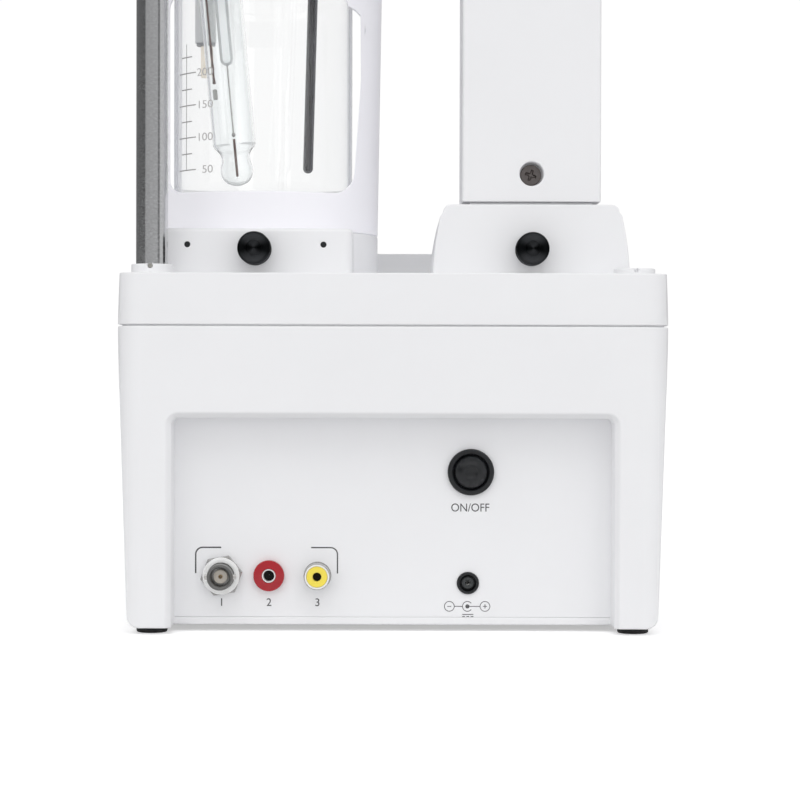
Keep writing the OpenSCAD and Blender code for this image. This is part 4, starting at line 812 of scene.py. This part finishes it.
film_ink = moulded("film_ink", (0.75, 0.77, 0.8), (0.85, 0.86, 0.88), 0.5, (0.9, 0.9, 0.9), depth=0.000004)
screen_ink = moulded("screen_ink", (0.45, 0.72, 0.82), (0.55, 0.82, 0.92), 0.5, (0.6, 0.85, 0.95), depth=0.000002)
blue_ink = moulded("blue_ink", (0.0, 0.13, 0.42), (0.0, 0.17, 0.5), 0.45, (0.1, 0.3, 0.6), depth=0.000004)


def on_film(piece, material, slot, height):
    """Lays a flat piece drawn in the film's own plane on the slope, read from the front."""
    only(piece)
    bpy.ops.object.convert(target="MESH")
    piece.location.z += height
    settle()
    piece.data.transform(to_slope)
    join_edges(piece)
    return fit(piece, material, "case", slot)


def film_line(name, points, width, material, slot="film", height=-0.00008, loop=False):
    piece = cord(name, [(x, y, 0) for x, y in points], width, loop)
    piece.scale.z = ink_depth / width
    return on_film(piece, material, slot, height)


def film_words(name, text, x, y, size, material, slot="film", height=-0.00008):
    piece = lettering(name, text, size, ink_depth, (x, y, 0))
    piece.data.align_y = "CENTER"
    return on_film(piece, material, slot, height)


# the screen: axes, ticks and the S-shaped curve of a titration
film_line(
    "screen_frame", [(-0.052, -0.020), (0.052, -0.020), (0.052, -0.098), (-0.052, -0.098)], 0.0004, screen_ink,
    "window", loop=True
)
film_line("screen_axes", [(-0.044, -0.028), (-0.044, -0.090), (0.024, -0.090)], 0.0004, screen_ink, "window")
for i in range(6):
    film_line(
        "screen_tick_x%d" % i, [(-0.044 + 0.0113 * (i + 1), -0.090), (-0.044 + 0.0113 * (i + 1), -0.0885)], 0.0003,
        screen_ink, "window"
    )
    film_line(
        "screen_tick_y%d" % i, [(-0.044, -0.090 + 0.0095 * (i + 1)), (-0.0425, -0.090 + 0.0095 * (i + 1))], 0.0003,
        screen_ink, "window"
    )
rise = [(
    -0.042 + 0.064 * i / 40, -0.084 + 0.048 / (1 + 2.7183 ** (-(i - 23) * 0.55)) + 0.0001 * i
) for i in range(41)]
film_line("screen_curve", rise, 0.0007, screen_ink, "window", height=-0.00005)
film_words("screen_number_top", "7.00", 0.0385, -0.036, 0.0095, screen_ink, "window")
film_words("screen_number_low", "12.50", 0.0385, -0.052, 0.0065, screen_ink, "window")
for i in range(4):
    film_line(
        "screen_soft_key_%d" % i, [(0.029, -0.064 - 0.0075 * i), (0.048, -0.064 - 0.0075 * i)], 0.0004, screen_ink,
        "window"
    )

# the keys: a printed frame round each, numbers on the right ones and arrows beside
key_names = [
    "", "", "", "", "", "7", "8", "9", "", "", "", "", "", "4", "5", "6", "", "", "", "", "0", "1", "2", "3"
]
first_key = 0.008 + 0.006 + 0.092 + 0.008 + 0.0045
for i, key in enumerate(key_names):
    column, row = i % 8, i // 8
    x, y = (column - 3.5) * 0.021, -(first_key + row * 0.015)
    frame_line = arc(x + 0.006, y + 0.0030, 0.001, 0, 90, 4) + arc(x - 0.006, y + 0.0030, 0.001, 90, 180, 4)
    frame_line += arc(x - 0.006, y - 0.0030, 0.001, 180, 270, 4) + arc(x + 0.006, y - 0.0030, 0.001, 270, 360, 4)
    film_line("key_frame_%02d" % i, frame_line, 0.0003, film_ink, height=0.00026, loop=True)
    if key:
        film_words("key_number_%02d" % i, key, x, y, 0.0058, film_ink, height=0.00026)
arrows = {1: (0, 1), 9: (-1, 0), 10: (1, 0), 17: (0, -1)}
for i, (dx, dy) in arrows.items():
    column, row = i % 8, i // 8
    x, y = (column - 3.5) * 0.021, -(first_key + row * 0.015)
    head = [
        (x - 0.0014 * dy - 0.001 * dx, y - 0.0014 * dx - 0.001 * dy), (x + 0.0014 * dx, y + 0.0014 * dy),
        (x + 0.0014 * dy - 0.001 * dx, y + 0.0014 * dx - 0.001 * dy)
    ]
    film_line("key_arrow_%02d" % i, head, 0.0006, film_ink, height=0.00026)
film_line(
    "film_stripe", [(-0.088, -0.0035 - first_key + 0.0115), (0.088, -0.0035 - first_key + 0.0115)], 0.0012,
    blue_ink
)


# ---------------------------------------------------------------- Stirrer module
# The housing is one white moulding: a square block at the back, a round part with the
# plate on top. A black thumb screw draws it against the tab behind its rear wall.
low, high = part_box("stirrer_housing")
block_x, round_y = (low.x + high.x) / 2, high.y - 0.0461
base, shelf, plate = low.z, low.z + 0.018, high.z
round_rings = [(pole, base), (0.0458, base), (0.0461, base + 0.0003), (0.0461, shelf - 0.0010)]
round_rings += round_edge(0.0453, shelf - 0.0008, 0.0008, 0, 90) + [
    (0.0412, shelf), (0.0410, shelf + 0.0002), (0.0410, plate - 0.0010)
]
round_rings += round_edge(0.0400, plate - 0.0010, 0.0010, 0, 90) + [(pole, plate)]
round_part = turned("round_part", (block_x, round_y, 0), up, round_rings, sides=96)
block = block_of("stirrer_body", (0.0738, 0.0620, 0.018), (block_x, low.y + 0.031, base + 0.009))


def bevel_where(piece, chosen, width, steps):
    """Rounds the edges of a piece that are chosen by the heights of their two ends."""
    bpy.ops.object.mode_set(mode="EDIT")
    bpy.ops.mesh.select_mode(type="EDGE")
    bpy.ops.mesh.select_all(action="DESELECT")
    done()
    for edge in piece.data.edges:
        edge.select = chosen(*[piece.data.vertices[i].co.z for i in edge.vertices])
    bpy.ops.object.mode_set(mode="EDIT")
    bpy.ops.mesh.bevel(offset=width, segments=steps, affect="EDGES")
    done()


bevel_where(block, lambda one, other: abs(one - other) > 0.01, 0.003, 5)
bevel_where(block, lambda one, other: min(one, other) > shelf - 0.0001, 0.0015, 4)
for x in (-0.0259, 0.0259):
    cut(
        block,
        turned(
            "pin_hole", (block_x + x, low.y - 0.001, base + 0.0118), (0, 1, 0), [(0.0012, 0), (0.0012, 0.006)],
            sides=32
        )
    )
cut(
    block,
    turned("lock_hole", (block_x, low.y - 0.001, base + 0.010), (0, 1, 0), [(0.0029, 0), (0.0029, 0.005)], sides=32)
)
even_shading(block)
only(block)
round_part.select_set(True)
bpy.ops.object.join()
fit(block, white_abs, "case", "white_abs", "stirrer_housing")
dress("stirrer_pins", "block_pins", 0.0001, glossy_black, "case", "black_plastic", 2)
motor_metal = moulded("motor_metal", (0.30, 0.30, 0.31), (0.42, 0.42, 0.43), 0.35, (0.6, 0.6, 0.6), metal=1.0)
dark_nylon = moulded("dark_nylon", (0.06, 0.063, 0.07), (0.085, 0.088, 0.095), 0.45, (0.16, 0.16, 0.17))
magnet_metal = moulded("magnet_metal", (0.42, 0.42, 0.43), (0.6, 0.6, 0.61), 0.22, (0.8, 0.8, 0.8), metal=1.0)
for node, material in (("stirrer_motor", motor_metal), ("magnet_carrier", dark_nylon), ("magnets", magnet_metal), ("pump_motor", motor_metal), ("valve_motor", motor_metal)):
    paint(node, material)


def blackened(name, centre, pitch=0.0006, depth=0.00001):
    """Blackened metal with the fine rings that a lathe leaves on a face along Y, and a
    painted sheen: its colour is lighter above and below the middle and darker beside it."""
    material, tree, shader = new_material(name)
    place = add_node(tree, "TexCoord")
    centred = add_node(tree, "Mapping", {"Location": (-centre[0], 0, -centre[2])})
    rings = add_node(
        tree, "TexWave", {"Scale": 0.314 / pitch, "Distortion": 0.6, "Detail": 2}, wave_type="RINGS",
        rings_direction="Y"
    )
    parts = add_node(tree, "SeparateXYZ")
    turn, rise, size = [add_node(tree, "Math") for _ in range(3)]
    turn.operation, rise.operation, size.operation = "ARCTAN2", "SINE", "ABSOLUTE"
    # painted sheen: a mask that is strongest above and below the middle of the face and low beside it
    painted_sheen = add_node(tree, "MapRange", {"From Min": 0.15, "From Max": 0.95}, interpolation_type="SMOOTHSTEP")
    wire(
        tree, (place, "Object", centred, "Vector"), (centred, "Vector", rings, "Vector"),
        (centred, "Vector", parts, "Vector"), (parts, "Z", turn, 0), (parts, "X", turn, 1), (turn, 0, rise, 0),
        (rise, 0, size, 0), (size, 0, painted_sheen, "Value")
    )
    # a darker and a lighter copy of one colour, mixed by the mask into a painted sheen
    painted_shade_tone = blend_colours(tree, rings.outputs["Fac"], (0.003, 0.0035, 0.004), (0.006, 0.007, 0.008))
    bright = blend_colours(tree, rings.outputs["Fac"], (0.055, 0.058, 0.063), (0.085, 0.089, 0.095))
    tree.links.new(blend_colours(tree, painted_sheen.outputs[0], painted_shade_tone, bright), shader.inputs["Base Color"])
    tree.links.new(spread(tree, rings.outputs["Fac"], 0.4, 0.6), shader.inputs["Roughness"])
    bump(tree, rings.outputs["Fac"], depth)
    shader.inputs["Specular IOR Level"].default_value = 0.2
    return material


def lock_knob(name, node, body):
    """A turned thumb screw: a fluted grip, a chamfered face and the bare shank behind."""
    low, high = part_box(node)
    x, z = (low.x + high.x) / 2, (low.z + high.z) / 2
    face = high.y - low.y
    back = face - 0.0117
    rings = [(pole, 0), (0.0022, 0), (0.0025, 0.0004), (0.0025, back), (0.0054, back), (0.0060, back + 0.0006)]
    rings += [(0.00625, back + 0.0009), (0.00625, face - 0.0022), (0.0060, face - 0.0019), (0.0060, face - 0.0006)]
    rings += round_edge(0.0055, face - 0.0005, 0.0005, 0, 90, 3) + [(0.0030, face), (pole, face)]
    piece = turned(name, (x, high.y, z), rear, rings, sides=80)
    only(piece)
    for side in piece.data.polygons:
        across = Vector((side.center.x - x, 0, side.center.z - z))
        out = across.length > 0.0061 and abs(side.normal.y) < 0.3 and abs(side.center.y - high.y + (back + face - 0.0013) / 2) < 0.001
        side.select = out and round(degrees_of(across) / 4.5 - 0.5) % 2 == 0
    bpy.ops.object.mode_set(mode="EDIT")
    bpy.ops.mesh.select_mode(type="FACE")
    bpy.ops.mesh.inset(thickness=0.00008, depth=-0.00035, use_individual=True)
    done()
    even_shading(piece, 30)
    black_metal = blackened(name + "_metal", (x, 0, z))
    return fit(piece, black_metal, body, "black_metal", node)


def degrees_of(across):
    return atan2(across.z, across.x) * 180 / pi % 360


lock_knob("stirrer_lock_knob", "stirrer_lock", "stirrer_lock_body")


# ---------------------------------------------------------------- Splash guard
# A round shield of slightly translucent white ABS on the housing's rim, moulded 2.5 mm
# thick, with a painted glow for the light that comes through it. It has an opening to the
# front and a window to the back, whose right edge slants.
guard_abs = moulded("guard_abs", (0.80, 0.795, 0.83), (0.83, 0.825, 0.86), 0.38, (0.88, 0.88, 0.9))
# painted light: the guard glows a little, for the light that comes through the thin plastic
shader = guard_abs.node_tree.nodes["Principled BSDF"]
put(shader, {"Emission Color": (0.95, 0.94, 1.0, 1), "Emission Strength": 0.13})
low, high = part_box("beaker_guard")
middle = (low.x + high.x) / 2
sill = low.z + 0.01505
opening_height = 0.0728
opening_slant = 0.068
opening_middle = (middle + 0.0225, low.y, sill + opening_height / 2)
opening = soften(block_of("window_tool", (0.028, 0.080, opening_height), opening_middle), 0.008, 6)
for point in opening.data.vertices:
    point.co.x += opening_slant * (point.co.z - sill)
splash_guard = cut(copy_of("beaker_guard", "splash_guard"), opening)
fit(soften(splash_guard, 0.0006), guard_abs, "case", "guard_abs", "beaker_guard")


# ---------------------------------------------------------------- Beaker
# A drawn glass beaker with a rolled rim. Its marks and numbers are fired on in white-grey
# enamel on the side that faces left and back.
def clear_glass(name, low, high):
    """Drawn glass with faint streaks in its tint, which lets light through to what is behind."""
    material, tree, shader = new_material(name)
    grains = place_group(tree, mould_grain, Scale=120.0, Mottle_Scale=14.0)
    tree.links.new(blend_colours(tree, grains.outputs["Mottle"], low, high), shader.inputs["Base Color"])
    put(shader, {"Roughness": 0, "Transmission Weight": 1.0, "IOR": 1.47})
    path = add_node(tree, "LightPath")
    unseen = add_node(tree, "Math", operation="MAXIMUM")
    clear = add_node(tree, "BsdfTransparent", {"Color": (0.97, 0.98, 0.98, 1)})
    either = add_node(tree, "MixShader")
    wire(
        tree, (path, "Is Shadow Ray", unseen, 0), (path, "Is Diffuse Ray", unseen, 1), (unseen, 0, either, 0),
        (shader, 0, either, 1), (clear, 0, either, 2)
    )
    tree.links.new(either.outputs[0], tree.nodes["Material Output"].inputs["Surface"])
    return material


beaker_glass = clear_glass("beaker_glass", (0.985, 0.99, 0.99), (1.0, 1.0, 1.0))
low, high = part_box("beaker")
beaker_axis = ((low.x + high.x) / 2, (low.y + high.y) / 2, low.z)
rings = [(pole, 0.0022), (0.026, 0.0022), (0.0312, 0.0027), (0.0337, 0.0052)]
rings += [(0.0343, 0.010), (0.0343, 0.050), (0.0343, 0.086), (0.0346, 0.0925), (0.0355, 0.0948)]
rings += round_edge(0.0364, 0.0949, 0.0009, 130, -60, 5)
rings += [
    (0.0361, 0.0930), (0.0359, 0.089), (0.0359, 0.050), (0.0359, 0.010), (0.0357, 0.006), (0.0341, 0.0022),
    (0.0318, 0.0004), (0.0300, 0.0), (0.0270, 0.0003), (pole, 0.0006)
]
spin("glass_beaker", beaker_axis, up, rings, beaker_glass, "beaker_body", "glass", "beaker", sides=128, angle=60)
enamel_depth = 0.00005
pale_enamel = moulded("pale_enamel", (0.50, 0.49, 0.48), (0.60, 0.59, 0.58), 0.5, (0.6, 0.6, 0.6), depth=0.000004)
enamel = moulded("grey_enamel", (0.34, 0.33, 0.32), (0.44, 0.43, 0.42), 0.5, (0.45, 0.45, 0.45), depth=0.000004)


def wrapped(piece, axis, radius, turn, foot):
    """Bends a flat piece drawn in x and y round an upright axis, at an angle and height."""
    only(piece)
    bpy.ops.object.convert(target="MESH")
    settle()
    for point in piece.data.vertices:
        angle = turn + point.co.x / radius
        r = radius + point.co.z
        point.co = (axis[0] + r * sin(angle), axis[1] - r * cos(angle), foot + point.co.y)
    join_edges(piece)
    return piece


def mark(name, width, height, axis, radius, turn, foot, material, body, slot):
    """One enamel line: a thin bar, cut across so that it can follow the glass."""
    piece = block_of(name, (width, height, enamel_depth))
    edit()
    parts = max(2, round(width / 0.001))
    for part in range(1, parts):
        bpy.ops.mesh.select_all(action="SELECT")
        bpy.ops.mesh.bisect(plane_co=(width * (part / parts - 0.5), 0, 0), plane_no=(1, 0, 0))
    done()
    return fit(wrapped(piece, axis, radius, turn, foot), material, body, slot)


def number(name, text, size, axis, radius, turn, foot, material, body, slot):
    piece = lettering(name, text, size, enamel_depth)
    piece.data.align_x = "RIGHT"
    piece.scale = (1.3, 1, 1)
    return fit(wrapped(piece, axis, radius, turn, foot), material, body, slot)


outside = 0.0359 + 0.00004
scale_turn = radians(-54.4)
mark("beaker_scale_line", 0.0004, 0.0497, beaker_axis, outside, scale_turn, 0.2016, enamel, "beaker_body", "glass")
for step in range(2, 10):
    long = step % 2 == 0
    foot = 0.1641 + 0.0127 * step / 2
    mark(
        "beaker_mark_%d" % step, 0.0125 if long else 0.0076, 0.00045, beaker_axis, outside, scale_turn, foot,
        enamel, "beaker_body", "glass"
    )
    if long:
        number(
            "beaker_number_%d" % (step * 25), str(step * 25), 0.0044, beaker_axis, outside, radians(-29.9),
            foot - 0.0016, pale_enamel, "beaker_body", "glass"
        )

fluoro = moulded("white_fluoro", (0.80, 0.80, 0.79), (0.87, 0.87, 0.86), 0.3, (0.9, 0.9, 0.9), depth=0.00001)
dress("stir_bar", "stirring_bar", 0.0001, fluoro, "stir_bar_body", "white_fluoro", 1, 60)


# ---------------------------------------------------------------- Holder
# A black moulded arm with a collar that slides on the rod, a round plate with three
# seats for what dips into the beaker, and a thumb screw that clamps it.
dress("holder_arm", "holder_plate", 0.0006, black_plastic, "holder", "black_plastic")
low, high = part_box("holder_knob")
clamp = (low.x, (low.y + high.y) / 2, (low.z + high.z) / 2)
grip = high.x - low.x
clamp_rings = [
    (pole, 0), (0.0021, 0), (0.0025, 0.0004), (0.0025, grip - 0.012), (0.0068, grip - 0.012),
    (0.0080, grip - 0.0108)
]
clamp_rings += [(0.0080, grip - 0.0010)] + round_edge(0.0070, grip - 0.0010, 0.0010, 0, 90, 4) + [
    (0.0045, grip), (0.0040, grip - 0.0004), (pole, grip - 0.0004)
]
spin(
    "clamp_knob", clamp, (1, 0, 0), clamp_rings, black_plastic, "holder_knob_body", "black_plastic", "holder_knob",
    sides=64
)


# ---------------------------------------------------------------- pH electrode
# A glass body that narrows to a round bulb, the inner tube with its silver wire, a salt
# bridge beside it, and a black cap with a strain relief. It leans in its seat.
lean = radians(5.4)
ph_axis = (-sin(lean), 0, cos(lean))
ph_tip = (-0.0618, -0.0855, 0.171)
electrode_glass = clear_glass("electrode_glass", (0.97, 0.985, 0.985), (0.99, 1.0, 1.0))
ph_rings = [(pole, 0.0)] + [(
    0.0065 * sin(radians(a)), 0.0065 - 0.0065 * cos(radians(a))
) for a in (12, 24, 36, 48, 60, 72, 84, 96, 108)]
ph_rings += [
    (0.0057, 0.0098), (0.0056, 0.0118), (0.0060, 0.0134), (0.0070, 0.0148), (0.0080, 0.0157), (0.0085, 0.0168),
    (0.0085, 0.030), (0.0085, 0.060), (0.0085, 0.090), (0.0085, 0.1177)
]
ph_rings += [
    (0.0075, 0.1177), (0.0075, 0.090), (0.0075, 0.060), (0.0075, 0.030), (0.0075, 0.0172), (0.0071, 0.0163),
    (0.0064, 0.0153), (0.0055, 0.0138), (0.0051, 0.0118), (0.0052, 0.0098)
]
ph_rings += [(
    0.0061 * sin(radians(a)), 0.0065 - 0.0061 * cos(radians(a))
) for a in (108, 96, 84, 72, 60, 48, 36, 24, 12)] + [(pole, 0.0004)]
spin(
    "electrode_body", ph_tip, ph_axis, ph_rings, electrode_glass, "ph_electrode", "glass", "ph_glass", sides=64,
    angle=60
)
silver = moulded(
    "silver_wire", (0.35, 0.34, 0.33), (0.6, 0.59, 0.57), 0.25, (0.8, 0.8, 0.8), metal=1.0, depth=0.000006
)
dark_salt = moulded(
    "dark_salt", (0.05, 0.018, 0.014), (0.12, 0.045, 0.03), 0.5, (0.2, 0.1, 0.06), grain=1800, mottle=600,
    depth=0.00003
)
# the inner tube is drawn opaque: its colour turns grey towards its outline, a painted shade for the dark edges of the
# thick glass wall
tube_glass, tree, shader = new_material("tube_glass")
facing = add_node(tree, "LayerWeight", {"Blend": 0.5})
painted_edge_shade = add_node(tree, "MapRange", {"From Min": 0.12, "From Max": 0.24}, interpolation_type="SMOOTHSTEP")
wire(tree, (facing, "Facing", painted_edge_shade, "Value"))
grains = place_group(tree, mould_grain, Scale=200.0, Mottle_Scale=30.0)
streaks = blend_colours(tree, grains.outputs["Mottle"], (0.86, 0.88, 0.88), (0.95, 0.96, 0.96))
tree.links.new(blend_colours(tree, painted_edge_shade.outputs[0], streaks, (0.40, 0.41, 0.42)), shader.inputs["Base Color"])
# painted light: a faint glow, for the light that comes through the tube
put(shader, {"Roughness": 0.2, "Emission Color": (1, 1, 1, 1), "Emission Strength": 0.2})
tube_rings = [
    (pole, 0.0484), (0.0009, 0.0486), (0.0017, 0.0491), (0.0023, 0.0499), (0.0026, 0.0510), (0.0026, 0.1170),
    (pole, 0.1170)
]
spin(
    "electrode_tube", ph_tip, ph_axis, tube_rings, tube_glass, "ph_electrode", "electrode_inner", "ph_inner",
    sides=48
)
wire_rings = [(0.0001, 0.0217), (0.0003, 0.0217), (0.0003, 0.0494), (0.0001, 0.0494)]
spin("electrode_wire", ph_tip, ph_axis, wire_rings, silver, "ph_electrode", "electrode_inner", sides=16)
bead_rings = [(0.0001, 0.0199), (0.0006, 0.0202), (0.0008, 0.0208), (0.0006, 0.0215), (0.0001, 0.0217)]
spin("electrode_bead", ph_tip, ph_axis, bead_rings, silver, "ph_electrode", "electrode_inner", sides=24)
pin_rings = [(0.0001, 0.0040), (0.0005, 0.0043), (0.0005, 0.0190), (0.0001, 0.0192)]
spin("electrode_pin", ph_tip, ph_axis, pin_rings, dark_salt, "ph_electrode", "electrode_inner", sides=20)
beside = (ph_tip[0] - 0.0058 * cos(lean), ph_tip[1], ph_tip[2] - 0.0058 * sin(lean))
side_rings = [
    (0.0001, 0.0415), (0.0007, 0.0418), (0.0004, 0.0450), (0.0006, 0.0480), (0.0004, 0.0510), (0.0006, 0.0545),
    (0.0004, 0.0600), (0.0004, 0.1000), (0.0001, 0.1000)
]
spin("salt_wire", beside, ph_axis, side_rings, dark_salt, "ph_electrode", "electrode_inner", sides=20)
frit = moulded("grey_frit", (0.34, 0.33, 0.31), (0.46, 0.45, 0.43), 0.6, (0.5, 0.5, 0.5), grain=3000)
frit_rings = [(0.0001, 0.0354), (0.0008, 0.0354), (0.0009, 0.0358), (0.0009, 0.0392), (0.0001, 0.0396)]
spin("salt_plug", beside, ph_axis, frit_rings, frit, "ph_electrode", "electrode_inner", sides=24)
cap_black = moulded("cap_black", (0.02, 0.02, 0.022), (0.035, 0.035, 0.038), 0.48, (0.1, 0.1, 0.1), depth=0.00003)
dress("ph_cap", "electrode_cap", 0.0005, cap_black, "ph_electrode", "cap_plastic")


# ---------------------------------------------------------------- Temperature probe
# A thin dark steel tube with a round end, and a moulded cap over its lead-out.
probe_steel = brushed("probe_steel", (0.045, 0.045, 0.048), (0.085, 0.085, 0.09), 0.3, across=1500, along=60)
tree = probe_steel.node_tree
shader = tree.nodes["Principled BSDF"]
# painted sheen: the colour turns lighter grey towards the tube's outline, where it faces away
facing = add_node(tree, "LayerWeight", {"Blend": 0.5})
sides = add_node(tree, "MapRange", {"From Min": 0.03, "From Max": 0.3}, interpolation_type="SMOOTHSTEP")
wire(tree, (facing, "Facing", sides, "Value"))
middle = shader.inputs["Base Color"].links[0].from_socket
tree.links.new(blend_colours(tree, sides.outputs[0], middle, (0.20, 0.20, 0.205)), shader.inputs["Base Color"])
paint("temp_probe", probe_steel)
dress("temp_cap", "probe_cap", 0.0004, cap_black, "temperature_probe", "cap_plastic")


# ---------------------------------------------------------------- Dosing tip
# A nozzle turned from white fluoroplastic, with a hexagonal nut and a hose stub at the
# top. A grey ring holds the thin amber tube that reaches down into the beaker.
low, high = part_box("dosing_tip")
nozzle = ((low.x + high.x) / 2, (low.y + high.y) / 2, low.z)
nozzle_rings = [(pole, 0.0139), (0.0032, 0.0139)] + round_edge(0.0036, 0.0143, 0.0004, -90, 0, 3)
nozzle_rings += [
    (0.0040, 0.0650), (0.0050, 0.0650), (0.0050, 0.0730), (0.0030, 0.0730), (0.0030, 0.0805),
    (0.0026, high.z - low.z), (pole, high.z - low.z)
]
spin("dosing_nozzle", nozzle, up, nozzle_rings, fluoro, "holder", "white_fluoro", "dosing_tip", sides=48)
nut_rings = [
    (0.0052, 0.0652), (0.0057, 0.0652), (0.006, 0.0655), (0.006, 0.0725), (0.0057, 0.0728), (0.0052, 0.0728)
]
spin(
    "nozzle_nut", nozzle, up, [(0.0042, 0.0654)] + nut_rings + [(0.0042, 0.0726)], fluoro, "holder", "white_fluoro",
    sides=6, angle=20
)
ring_rings = [
    (pole, 0.0128), (0.0032, 0.0128), (0.0034, 0.0130), (0.0034, 0.0137), (0.0032, 0.0139), (pole, 0.0139)
]
grey_ring = moulded(
    "grey_ring", (0.34, 0.34, 0.35), (0.46, 0.46, 0.47), 0.4, (0.6, 0.6, 0.6), mottle=900, depth=0.00001
)
spin("nozzle_ring", nozzle, up, ring_rings, grey_ring, "holder", "white_fluoro", sides=40)
amber = moulded("amber_tube", (0.80, 0.68, 0.52), (0.94, 0.89, 0.80), 0.25, (0.9, 0.85, 0.8), mottle=300)
# painted light: the tube glows a little, for the light that shines through it
shader = amber.node_tree.nodes["Principled BSDF"]
put(shader, {"Emission Color": (1.0, 0.93, 0.84, 1), "Emission Strength": 0.25})
tip_rings = [(pole, 0.0008), (0.0009, 0.0004), (0.0012, 0.0), (0.0016, 0.0004), (0.0016, 0.0126), (pole, 0.0126)]
spin("nozzle_tube", nozzle, up, tip_rings, amber, "holder", "white_fluoro", sides=32)


# ---------------------------------------------------------------- Dosing module
# The foot, the tower and its front cover are white ABS mouldings. The foot's sides
# bulge a little; the tower stands on it over a shadow gap.
dress("pump_foot", "pump_base", 0.0005, white_abs, "case", "white_abs")
dress("pump_housing", "tower_shell", 0.0005, white_abs, "case", "white_abs")
dress("pump_cover", "tower_cover", 0.0004, white_abs, "case", "white_abs")
lock_knob("pump_lock_knob", "pump_lock", "pump_lock_body")
bronze = moulded(
    "dark_bronze", (0.16, 0.145, 0.14), (0.26, 0.235, 0.225), 0.38, (0.3, 0.25, 0.2), metal=1.0, depth=0.00001
)
dress("tower_screw", "tower_fixing", 0.0004, bronze, "case", "bronze_screw", 3)


# ---------------------------------------------------------------- Drive
# A lead screw between two plates turns in bronze bushes and lifts the carriage, which
# runs on two ground rods. Its arm reaches out through the slot in the cover.
frame_alu = brushed("frame_alu", (0.60, 0.605, 0.61), (0.72, 0.725, 0.73), 0.3, across=400, along=400)
for node, material in (("drive_frame", frame_alu), ("guide_rods", rod_steel), ("lead_screw", rod_steel)):
    paint(node, material)
dress("carriage", "drive_slide", 0.0005, dark_nylon, "drive_carriage", "grey_plastic")


# ---------------------------------------------------------------- Burette
# A ground glass barrel with its scale fired on, held by two rings, with a white piston
# inside it, and the valve block with its blue plug and two fittings on top.
burette_glass = clear_glass("burette_glass", (0.95, 0.97, 0.97), (0.98, 0.99, 0.99))
low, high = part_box("burette_barrel")
burette_axis = ((low.x + high.x) / 2, (low.y + high.y) / 2, low.z)
length = high.z - low.z
barrel_rings = [
    (0.0080, 0.0), (0.0080, length), (0.0097, length), (0.0100, length - 0.0003), (0.0100, length / 2),
    (0.0100, 0.0003), (0.0097, 0.0), (0.0080, 0.0)
]
spin("glass_barrel", burette_axis, up, barrel_rings, burette_glass, "case", "glass", "burette_barrel", sides=80)
for step in range(11):
    long = step % 5 == 0
    foot = low.z + 0.012 + 0.0049 * step
    mark(
        "burette_mark_%02d" % step, 0.009 if long else 0.005, 0.0003, burette_axis, 0.01003, pi, foot, enamel,
        "case", "glass"
    )
    if long:
        number(
            "burette_number_%d" % step, str(20 - 2 * step), 0.0036, burette_axis, 0.01003, pi - 0.95, foot - 0.0013,
            enamel, "case", "glass"
        )
dress("burette_rings", "barrel_rings", 0.0006, white_abs, "case", "white_abs")
dress("plunger", "piston_rod", 0.0003, fluoro, "drive_carriage", "white_fluoro", 2)
valve_white = moulded("valve_white", (0.76, 0.76, 0.73), (0.82, 0.82, 0.79), 0.35, (0.9, 0.9, 0.88))
blue_plastic = moulded("blue_plastic", (0.01, 0.09, 0.30), (0.015, 0.12, 0.36), 0.3, (0.2, 0.35, 0.6), coat=0.2)
dress("valve_body", "valve_block", 0.0007, valve_white, "case", "valve_white")
dress("valve_rotor", "valve_plug", 0.0001, blue_plastic, "valve_rotor_body", "blue_plastic", 1, 60)
dress("valve_fittings", "hose_fittings", 0.0004, dark_nylon, "case", "grey_plastic", 3)
